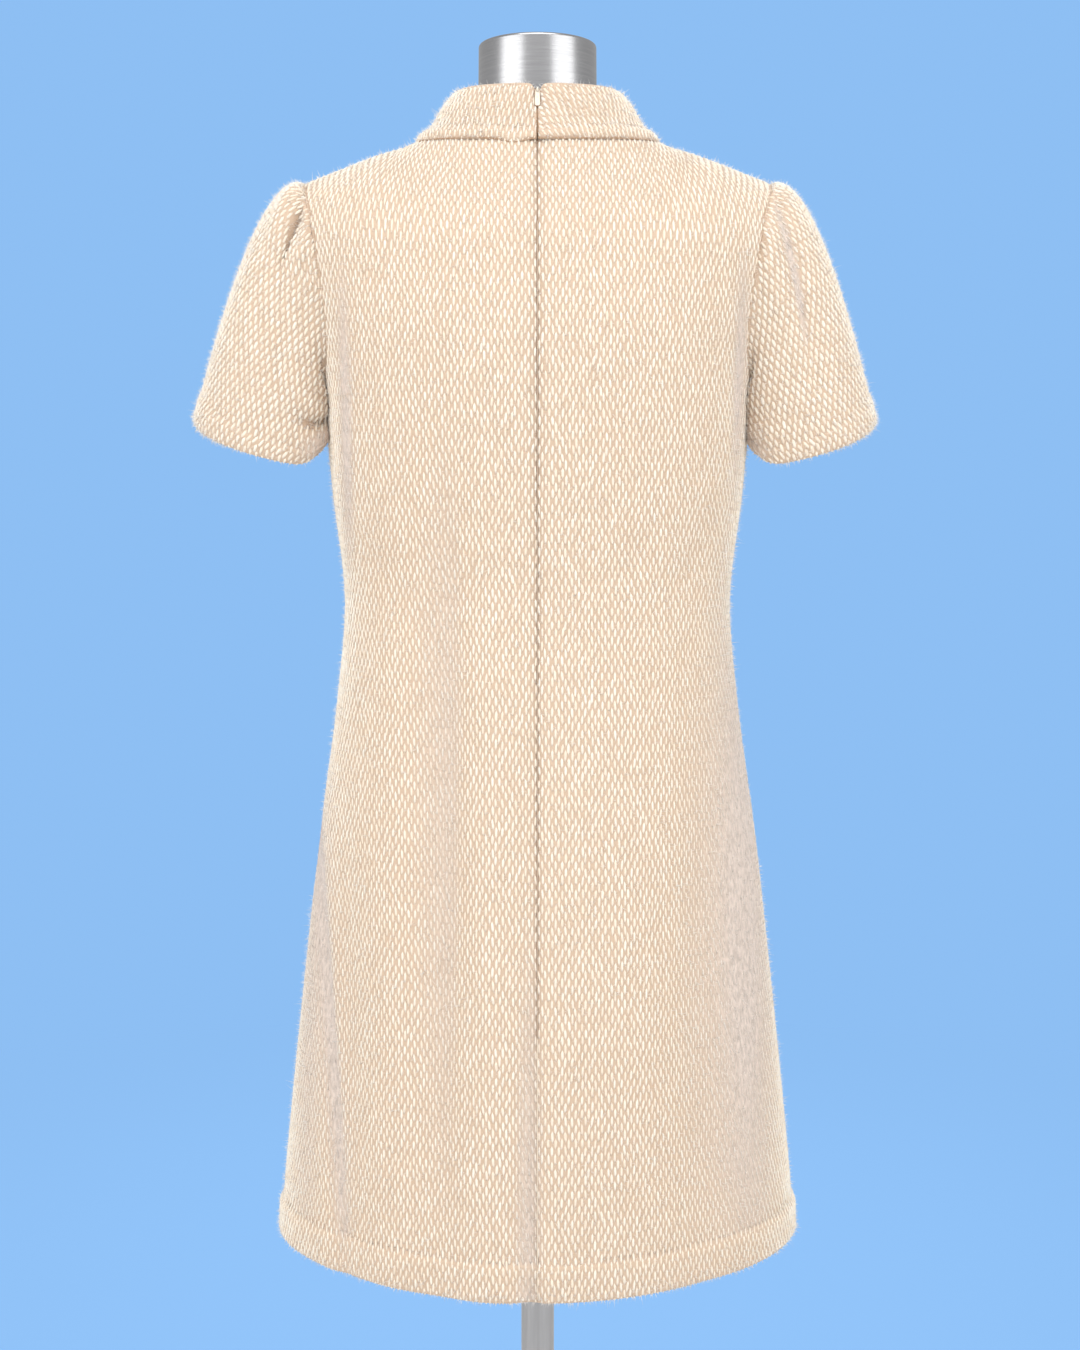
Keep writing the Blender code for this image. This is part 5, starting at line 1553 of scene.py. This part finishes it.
class DRESS_OT_front(bpy.types.Operator):
    """Build the front with its weave and nap"""
    bl_idname = "dress.front"
    bl_label = "Front"

    def execute(self, context):
        half = panel_columns(40)
        s = np.concatenate([half[::-1], [0], -half])
        face = seam_sunk(body_cloth(FRONT, s), True, True)
        cloth = measure_cloth(face, len(half))
        halves = (("_right", lambda across, along: across < 0), ("_left", lambda across, along: across >= 0))
        make_cloth_piece("front", face, [dict(
            ending=ending, cloth=cloth, reach=(HEM_OUTSIDE, cloth_length(cloth)), part=part,
            grain=Grain(straight, FRONT_SLOPE, 1), seed=SEEDS["front" + ending], strips=HEM_STRIPS,
        ) for ending, part in halves])
        return {"FINISHED"}


class DRESS_OT_sleeves(bpy.types.Operator):
    """Build the two sleeves with their tucks, weave and nap"""
    bl_idname = "dress.sleeves"
    bl_label = "Sleeves"

    def execute(self, context):
        for hand, node in ((LEFT, "sleeve_left"), (RIGHT, "sleeve_right")):
            face = sleeve_cloth(hand)
            way = unit(np.array([-hand * GRAIN_RISE_OUT, -CUFF_RISE_FRONT, 1.0]))
            columns = sleeve_columns() if hand == RIGHT else sleeve_columns()[::-1]
            middle = np.abs(columns - 0.5).argmin()
            cloth = measure_sleeve(face, middle, way, len(face) - len(SLEEVE_ROWS))
            lean = hand * SLEEVE_LEAN
            make_cloth_piece(node, face, [dict(
                ending="", cloth=cloth, reach=(CUFF_OUTSIDE, cloth_length(cloth)),
                grain=Grain(lambda across: lean + 0 * across, 0.0, 1), seed=SEEDS[node],
                fuzz=SLEEVE_FUZZ, plump=SLEEVE_PLUMP, strips=CUFF_STRIPS,
            )], ring=True)
        return {"FINISHED"}


def collar_lean_right(across):
    """The columns lean most at the centre back and straighten away from it."""
    return COLLAR_LEAN_RIGHT * (1 - COLLAR_LEAN_LOSS * ease(np.abs(across) / COLLAR_LEAN_REACH))


def collar_lean_left(across):
    """The columns lean evenly."""
    return COLLAR_LEAN_LEFT + 0 * across


class DRESS_OT_collar(bpy.types.Operator):
    """Build the folded collar with its weave and nap"""
    bl_idname = "dress.collar"
    bl_label = "Collar"

    def execute(self, context):
        face = collar_cloth()
        middle = face.shape[1] // 2
        mesh = sheet_mesh("collar_cloth", face, CLOTH * COLLAR_LAYER)
        sheet = add_piece(mesh, "tan_ground_wool", ["collar"])
        pieces = []
        for half, origin, ending, lean in (
            (face[:, :middle + 1], 0, "_right", collar_lean_right),
            (face[:, middle:], len(face[0]) - middle - 1, "_left", collar_lean_left),
        ):
            cloth = measure_cloth(half, origin)
            reach = (0.0, cloth_length(cloth) - COLLAR_INSIDE)
            grain = Grain(lean, 0.0, COLLAR_CLOSE)
            pieces += cover("collar", ending, cloth, reach, grain, SEEDS["collar" + ending], COLLAR_FUZZ,
                            COLLAR_PLUMP)
        return {"FINISHED"}


def add_tube(name, path, radius, material):
    """Add a thin tube as a piece of the dress."""
    add_piece(tube(name, path, radius), material)


def centre_seam(seam):
    """Middle of one part of the tube along the centre back seam, which wanders a little from side to side;
    its part in the slit paints the slit's shadow.
    """
    h = np.linspace(seam.low, seam.high, int((seam.high - seam.low) / CENTRE_SEAM_STEP) + 2)
    beside = np.full(h.shape, BESIDE_CENTRE)
    base = body_face(BACK, beside, h)
    out, _ = body_out(BACK, beside, h, base)
    centre = base + body_normal(BACK, beside, h) * (out + seam.out)[:, None]
    slow = np.sin(h * CENTRE_SEAM_BEAT * CENTRE_SEAM_TURNS)
    centre[:, 0] = CENTRE_SEAM_WANDER * np.sin(h * CENTRE_SEAM_TURNS) * slow
    return centre


def neck_seam():
    """Middle of the dark tube that paints the shadow in the neck seam under the collar's lip, from one side
    of the slit round to the other.
    """
    angle = np.linspace(NECK_SEAM_END, 2 * pi - NECK_SEAM_END, NECK_SEAM_POINTS)
    outward = np.stack([np.sin(angle), -np.cos(angle), 0 * angle], -1)
    neck = neckline(angle) + outward * NECK_SEAM_OUT
    neck[:, 2] -= lip_sag(angle) + NECK_SEAM_DROP
    return neck


class DRESS_OT_seams(bpy.types.Operator):
    """Fill the seams with the wool of the turned-in edges, and lay dark tubes that paint the shadow in the
    neck seam and the centre back slit
    """
    bl_idname = "dress.seams"
    bl_label = "Seams"

    def execute(self, context):
        radius = context.scene.dress_weave.seam_radius
        sunk = radius + SEAM_BELOW
        point, way, normal = armhole_edge(np.linspace(0, 1, ARMHOLE_SEAM_POINTS))
        armhole = point + way * SEAM / 2 - normal * sunk
        h = np.linspace(HEM + SEAM_ENDS, UNDERARM, SIDE_SEAM_POINTS)
        ones = np.ones(h.shape)
        out = (BAND_PROUD * band(h) - sunk)[:, None]
        side = body_face(FRONT, ones, h) + body_normal(FRONT, ones, h) * out
        side[:, 1] = 0
        share = np.linspace(NECK_SHARE, 1, SHOULDER_SEAM_POINTS)
        shoulder = crest(BACK, share) - body_normal(BACK, share, np.full(share.shape, CREST)) * sunk
        for hand, name in ((LEFT, "left"), (RIGHT, "right")):
            mirror = np.array([hand, 1, 1])
            for seam, path in (("armhole", armhole), ("side", side), ("shoulder", shoulder)):
                add_tube(f"{seam}_seam_{name}", path * mirror, radius, "tan_ground_wool")
        for seam in CENTRE_SEAMS:
            add_tube(seam.name, centre_seam(seam), CENTRE_SEAM_RADIUS, seam.material)
        add_tube("neck_seam", neck_seam(), NECK_SEAM_RADIUS, "painted_seam_shadow")
        return {"FINISHED"}


def lathe(name, profile, steps):
    """Turn a profile of (radius, z) points round the Z axis; the profile runs from the top to the bottom."""
    profile = np.asarray(profile)
    turn = np.linspace(0, 2 * pi, steps, endpoint=False)
    ring = profile[1:-1]
    radius, z = ring[:, :1], ring[:, 1:]
    grid = np.stack([radius * np.cos(turn), radius * np.sin(turn), z + 0 * turn], -1)
    points = np.concatenate([grid.reshape(-1, 3), [[0, 0, profile[0, 1]], [0, 0, profile[-1, 1]]]])
    count = len(ring) * steps
    i = np.arange(steps)
    j = (i + 1) % steps
    top = np.stack([i, j, np.full(steps, count)], -1)
    low = (len(ring) - 1) * steps
    bottom = np.stack([low + j, low + i, np.full(steps, count + 1)], -1)
    return fill_mesh(name, points, [grid_faces(len(ring), steps, True)[:, ::-1], top, bottom])


def rounded_profile(radius, top, low, edge, low_edge, taper):
    """Profile of a disc or cylinder with quarter-round edges, narrower at the top by the taper."""
    top_radius = radius - taper
    turns = np.linspace(pi / 2, 0, 7)
    upper = np.stack([top_radius - edge + edge * np.cos(turns), top - edge + edge * np.sin(turns)], -1)
    turns = np.linspace(0, -pi / 2, 5)
    lower = np.stack([radius - low_edge + low_edge * np.cos(turns),
                      low + low_edge + low_edge * np.sin(turns)], -1)
    return np.concatenate([[[0, top]], upper, lower, [[0, low]]])


def add_turned(turned, low, high, node):
    """Add a turned steel piece that fills a node's box from its lowest to its highest corner."""
    profile = rounded_profile(high[0], high[2], low[2], turned.edge, turned.low_edge, turned.taper)
    add_piece(lathe(turned.name, profile, turned.steps), turned.material, [node])


class DRESS_OT_form(bpy.types.Operator):
    """Build the dress form: torso cover, neck cap, pole and base"""
    bl_idname = "dress.form"
    bl_label = "Dress form"

    def execute(self, context):
        low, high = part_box("neck_cap")
        add_turned(NECK_CAP, low, high, "neck_cap")
        low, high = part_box("pole")
        add_turned(POLE, low, high, "pole")
        low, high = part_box("base_plate")
        add_turned(BASE_PLATE, low, high, "base_plate")
        mesh = frame["nodes"]["form_torso"].data.copy()
        mesh.name = "torso_cover"
        shape = bmesh.new()
        shape.from_mesh(mesh)
        bmesh.ops.remove_doubles(shape, verts=shape.verts, dist=SAME_POINT)
        shape.to_mesh(mesh)
        shape.free()
        mesh.materials.clear()
        mesh.shade_smooth()
        torso = add_piece(mesh, "form_jersey", ["form_torso"])
        finer = torso.modifiers.new("finer", "SUBSURF")
        finer.levels = finer.render_levels = 1
        return {"FINISHED"}


def zip_bars():
    """The coil of the closed zip: short bars across the slit, one above the other up to the slider."""
    h = np.arange(ZIP_END + ZIP_COIL_FROM, CREST, ZIP_PITCH)
    beside = np.full(h.shape, BESIDE_CENTRE)
    base = body_face(BACK, beside, h)
    out, _ = body_out(BACK, beside, h, base)
    low = base + body_normal(BACK, beside, h) * (out - ZIP_BELOW)[:, None]
    p = np.arange(*ZIP_COIL_COLLAR, ZIP_PITCH / COLLAR_HEIGHT)
    angle = np.full(p.shape, SMALL)
    high = collar_face(angle, p) - collar_normal(angle, p) * ZIP_BELOW
    middle = np.concatenate([low, high])
    middle[:, 0] = 0
    box = np.array([[x, y, z] for x in (-1, 1) for y in (-1, 1) for z in (-1, 1)]) * ZIP_BAR / 2
    points = middle[:, None] + box
    faces = np.array([[0, 1, 3, 2], [4, 6, 7, 5], [0, 4, 5, 1], [2, 3, 7, 6], [0, 2, 6, 4], [1, 5, 7, 3]])
    faces = np.arange(len(middle))[:, None, None] * len(box) + faces
    return fill_mesh("zip_coil_bars", points.reshape(-1, 3), [faces.reshape(-1, 4)], False)


def pull_round():
    """Cosine and sine of the points round each ring of the pull."""
    return rounded(np.linspace(0, 2 * pi, PULL_POINTS, endpoint=False), PULL_CORNERS)


def pull_ring(inset, out):
    """A ring of the pull: a superellipse whose width grows towards its foot, drawn in by the inset."""
    c, s = pull_round()
    half = (PULL_REACH[0] + PULL_REACH[1]) / 2 - inset
    middle = (PULL_REACH[0] - PULL_REACH[1]) / 2
    z = middle + half * s
    share = (PULL_REACH[0] - z) / sum(PULL_REACH)
    x = (PULL_FACE_TOP + (PULL_FACE_FOOT - PULL_FACE_TOP) * share + PULL_EDGE - inset) * c
    return np.stack([x, out + 0 * x, z], -1)


def pull_window(out):
    """Edge of the pull's hole, with as many points as its outline."""
    c, s = pull_round()
    return np.stack([PULL_WINDOW[0] * c, out + 0 * c, -PULL_WINDOW_DROP + PULL_WINDOW[1] * s], -1)


def zip_pull():
    """The pull's plate, with 1 for each face of its bare edge.

    It hangs from the hinge along the solid pull, and is a ring of sections round its hole.
    """
    hinge = np.array(frame["joints"][0]["pos_m"])
    solid = frame["nodes"]["zip_pull"].data
    corners = np.empty(len(solid.vertices) * 3)
    solid.vertices.foreach_get("co", corners)
    corners = corners.reshape(-1, 3)
    foot = corners[corners[:, 2] < corners[:, 2].min() + PULL_FOOT].mean(0)
    up = unit(np.array([0, *(hinge - foot)[1:]]))
    away = np.cross([1.0, 0, 0], up)
    front, back = PULL_THICK / 2, -PULL_THICK / 2
    rings = np.stack([
        pull_window(front), pull_ring(PULL_EDGE, front), pull_ring(PULL_ROUND, front - 3 * PULL_ROUND),
        pull_ring(0, 0), pull_ring(PULL_ROUND, back + 2 * PULL_ROUND), pull_ring(3 * PULL_ROUND, back),
        pull_window(back),
    ])
    points = hinge + rings[..., :1] * [1.0, 0, 0] + rings[..., 1:2] * away + rings[..., 2:] * up
    rows, columns = rings.shape[:2]
    faces = grid_faces(rows + 1, columns, True)[:, ::-1] % (rows * columns)
    mesh = fill_mesh("zip_pull_tab", points.reshape(-1, 3), [faces], False)
    edge = np.zeros(len(faces), np.int32)
    edge[columns:(rows - 2) * columns] = 1
    return mesh, edge


class DRESS_OT_zip(bpy.types.Operator):
    """Finish the concealed zip: tapes, coil, slider and pull"""
    bl_idname = "dress.zip"
    bl_label = "Zip"

    def execute(self, context):
        for node, material in ZIP_FINISHES.items():
            solid = frame["nodes"][node].data
            solid.materials.clear()
            solid.materials.append(material_named(material))
        add_piece(zip_bars(), "zip_coil")
        mesh, edge = zip_pull()
        add_piece(mesh, "ivory_enamel", ["zip_pull"], "zip_pull")
        mesh.materials.append(material_named("pull_edge"))
        mesh.polygons.foreach_set("material_index", edge)
        return {"FINISHED"}


class DRESS_OT_stage(bpy.types.Operator):
    """Add the floor, the lights and the camera"""
    bl_idname = "dress.stage"
    bl_label = "Stage"

    def execute(self, context):
        scene = context.scene
        look = scene.dress_look
        turn = np.linspace(0, 2 * pi, FLOOR_STEPS, endpoint=False)
        ring = np.stack([FLOOR_RADIUS * np.cos(turn), FLOOR_RADIUS * np.sin(turn), 0 * turn - FLOOR_SINK], -1)
        i = np.arange(FLOOR_STEPS)
        faces = np.stack([i, (i + 1) % FLOOR_STEPS, np.full(FLOOR_STEPS, FLOOR_STEPS)], -1)
        mesh = fill_mesh("floor", np.concatenate([ring, [[0, 0, -FLOOR_SINK]]]), [faces])
        floor = bpy.data.objects.new("floor", mesh)
        scene.collection.objects.link(floor)
        mesh.materials.append(floor_paint(look))
        world = bpy.data.worlds.new("studio")
        scene.world = world
        world.use_nodes = True
        tree = world.node_tree
        light = tree.nodes["Background"]
        light.inputs["Color"].default_value = (1, 1, 1, 1)
        light.inputs["Strength"].default_value = look.fill
        seen = add_node(tree, "ShaderNodeBackground", {"Color": (*look.floor, 1)})
        tree.links.new(seen_directly(tree, light.outputs[0], seen.outputs[0]),
                       tree.nodes["World Output"].inputs["Surface"])
        for light in STUDIO:
            lamp = bpy.data.lights.new(light.name, "AREA")
            lamp.shape = "RECTANGLE"
            lamp.size = light.width
            lamp.size_y = light.height
            lamp.energy = light.share * look.key
            holder = bpy.data.objects.new(light.name, lamp)
            holder.visible_glossy = light.gleams
            scene.collection.objects.link(holder)
            turn = radians(light.turn)
            place = Vector((light.away * sin(turn), -light.away * cos(turn), light.z))
            holder.location = place
            holder.rotation_euler = (place - Vector(LIGHTS_AIM)).to_track_quat("Z", "Y").to_euler()
        camera = bpy.data.objects.new("camera", bpy.data.cameras.new("camera"))
        scene.collection.objects.link(camera)
        camera.data.lens = LENS
        camera.data.sensor_width = SENSOR
        camera.location = CAMERA_PLACE
        camera.rotation_euler = (radians(90 - CAMERA_PITCH), 0, 0)
        scene.camera = camera
        scene.view_settings.view_transform = "Standard"
        return {"FINISHED"}


# Sizes and colours that a user would change

def length_property(name, description, default):
    """A length that a user can set."""
    return FloatProperty(name=name, description=description, default=default, subtype="DISTANCE",
                         unit="LENGTH")


def colour_property(name, description, default):
    """A colour that a user can set."""
    return FloatVectorProperty(name=name, description=description, default=default, subtype="COLOR",
                               min=0, max=1)


class DressWeave(bpy.types.PropertyGroup):
    """Sizes of the weave and its nap"""
    column_pitch: length_property("Column pitch", "Distance between neighbouring columns of floats", 0.0026)
    repeat: length_property("Repeat", "Length of the weave's repeat along a column", 0.0113)
    float_width: length_property("Float width", "Width of a float at its middle", 0.0026)
    float_length: length_property("Float length", "Length of a float", 0.0105)
    float_height: length_property("Float height", "How far a float stands out of the ground", 0.0011)
    seam_radius: length_property("Seam radius", "Half the thickness of the turned-in edge in a seam", 0.0009)
    nap_length: length_property("Nap length", "Usual length of a loose fibre", 0.0038)
    nap_width: length_property("Nap width", "Thickness of a loose fibre at its root", 0.00042)
    nap_per_area: IntProperty(name="Nap per area", description="Number of loose fibres on a square metre",
                              default=58000)


class DressLook(bpy.types.PropertyGroup):
    """Colours and lights"""
    cream: colour_property("Cream", "Usual colour of the floats", (0.925, 0.81, 0.665))
    cream_light: colour_property("Light cream", "Lightest floats", (0.98, 0.93, 0.825))
    tan: colour_property("Tan", "Usual colour of the ground", (0.64, 0.487, 0.365))
    tan_light: colour_property("Light tan", "Lighter ground", (0.735, 0.585, 0.455))
    # painted shade: the nap's colour made darker and greyer to stand for the shade in troughs and where the
    # cloth turns away
    nap_and_trough_shade: colour_property("Nap in troughs", "Colour of the flat nap in the folds", (0.725, 0.625, 0.56))
    nap: colour_property("Nap", "Colour of the loose fibres", (0.97, 0.94, 0.91))
    # the tape is given a dark brown that paints the shade seen down the slit
    tape: colour_property("Tape", "Colour of the zip's tape", (0.30, 0.20, 0.13))
    # painted shadow: the brown that stands for the shade deep in the neck seam and the slit
    shade: colour_property("Seam shade", "Colour of the wool deep in the seams", (0.42, 0.265, 0.16))
    # the coil is given a brown that paints the shade seen down the slit
    coil: colour_property("Coil", "Colour of the zip's coil", (0.52, 0.33, 0.20))
    enamel: colour_property("Enamel", "Colour of the zip's slider and pull", (0.86, 0.78, 0.65))
    jersey: colour_property("Jersey", "Colour of the form's cover", (0.70, 0.67, 0.62))
    floor: colour_property("Floor", "Colour of the floor and backdrop", (0.27, 0.52, 0.90))
    key: FloatProperty(name="Key light", description="Power of which each softbox has its share",
                       default=41.0, unit="POWER")
    fill: FloatProperty(name="Fill light", description="Strength of the light from all round", default=0.51)


class DRESS_PT_panel(bpy.types.Panel):
    """Sizes, colours and the operators of the dress"""
    bl_label = "Shift Dress"
    bl_idname = "DRESS_PT_panel"
    bl_space_type = "VIEW_3D"
    bl_region_type = "UI"
    bl_category = "Shift Dress"

    def draw(self, context):
        for group in (context.scene.dress_weave, context.scene.dress_look):
            box = self.layout.box()
            for name in group.__annotations__:
                box.prop(group, name)
        for operator in OPERATORS:
            self.layout.operator(operator.bl_idname)


OPERATORS = (
    DRESS_OT_stage, DRESS_OT_form, DRESS_OT_backs, DRESS_OT_front, DRESS_OT_sleeves, DRESS_OT_collar,
    DRESS_OT_seams, DRESS_OT_zip,
)
CLASSES = (DressWeave, DressLook, *OPERATORS, DRESS_PT_panel)


def register():
    """Make the operators, the panel and the settings known to Blender."""
    for item in CLASSES:
        bpy.utils.register_class(item)
    bpy.types.Scene.dress_weave = PointerProperty(type=DressWeave)
    bpy.types.Scene.dress_look = PointerProperty(type=DressLook)


def unregister():
    """Take them away again."""
    del bpy.types.Scene.dress_look
    del bpy.types.Scene.dress_weave
    for item in reversed(CLASSES):
        bpy.utils.unregister_class(item)


def main():
    """Build the dress on its form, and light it."""
    register()
    bpy.ops.dress.stage()
    bpy.ops.dress.form()
    bpy.ops.dress.backs()
    bpy.ops.dress.front()
    bpy.ops.dress.sleeves()
    bpy.ops.dress.collar()
    bpy.ops.dress.seams()
    bpy.ops.dress.zip()


if __name__ == "__main__":
    main()
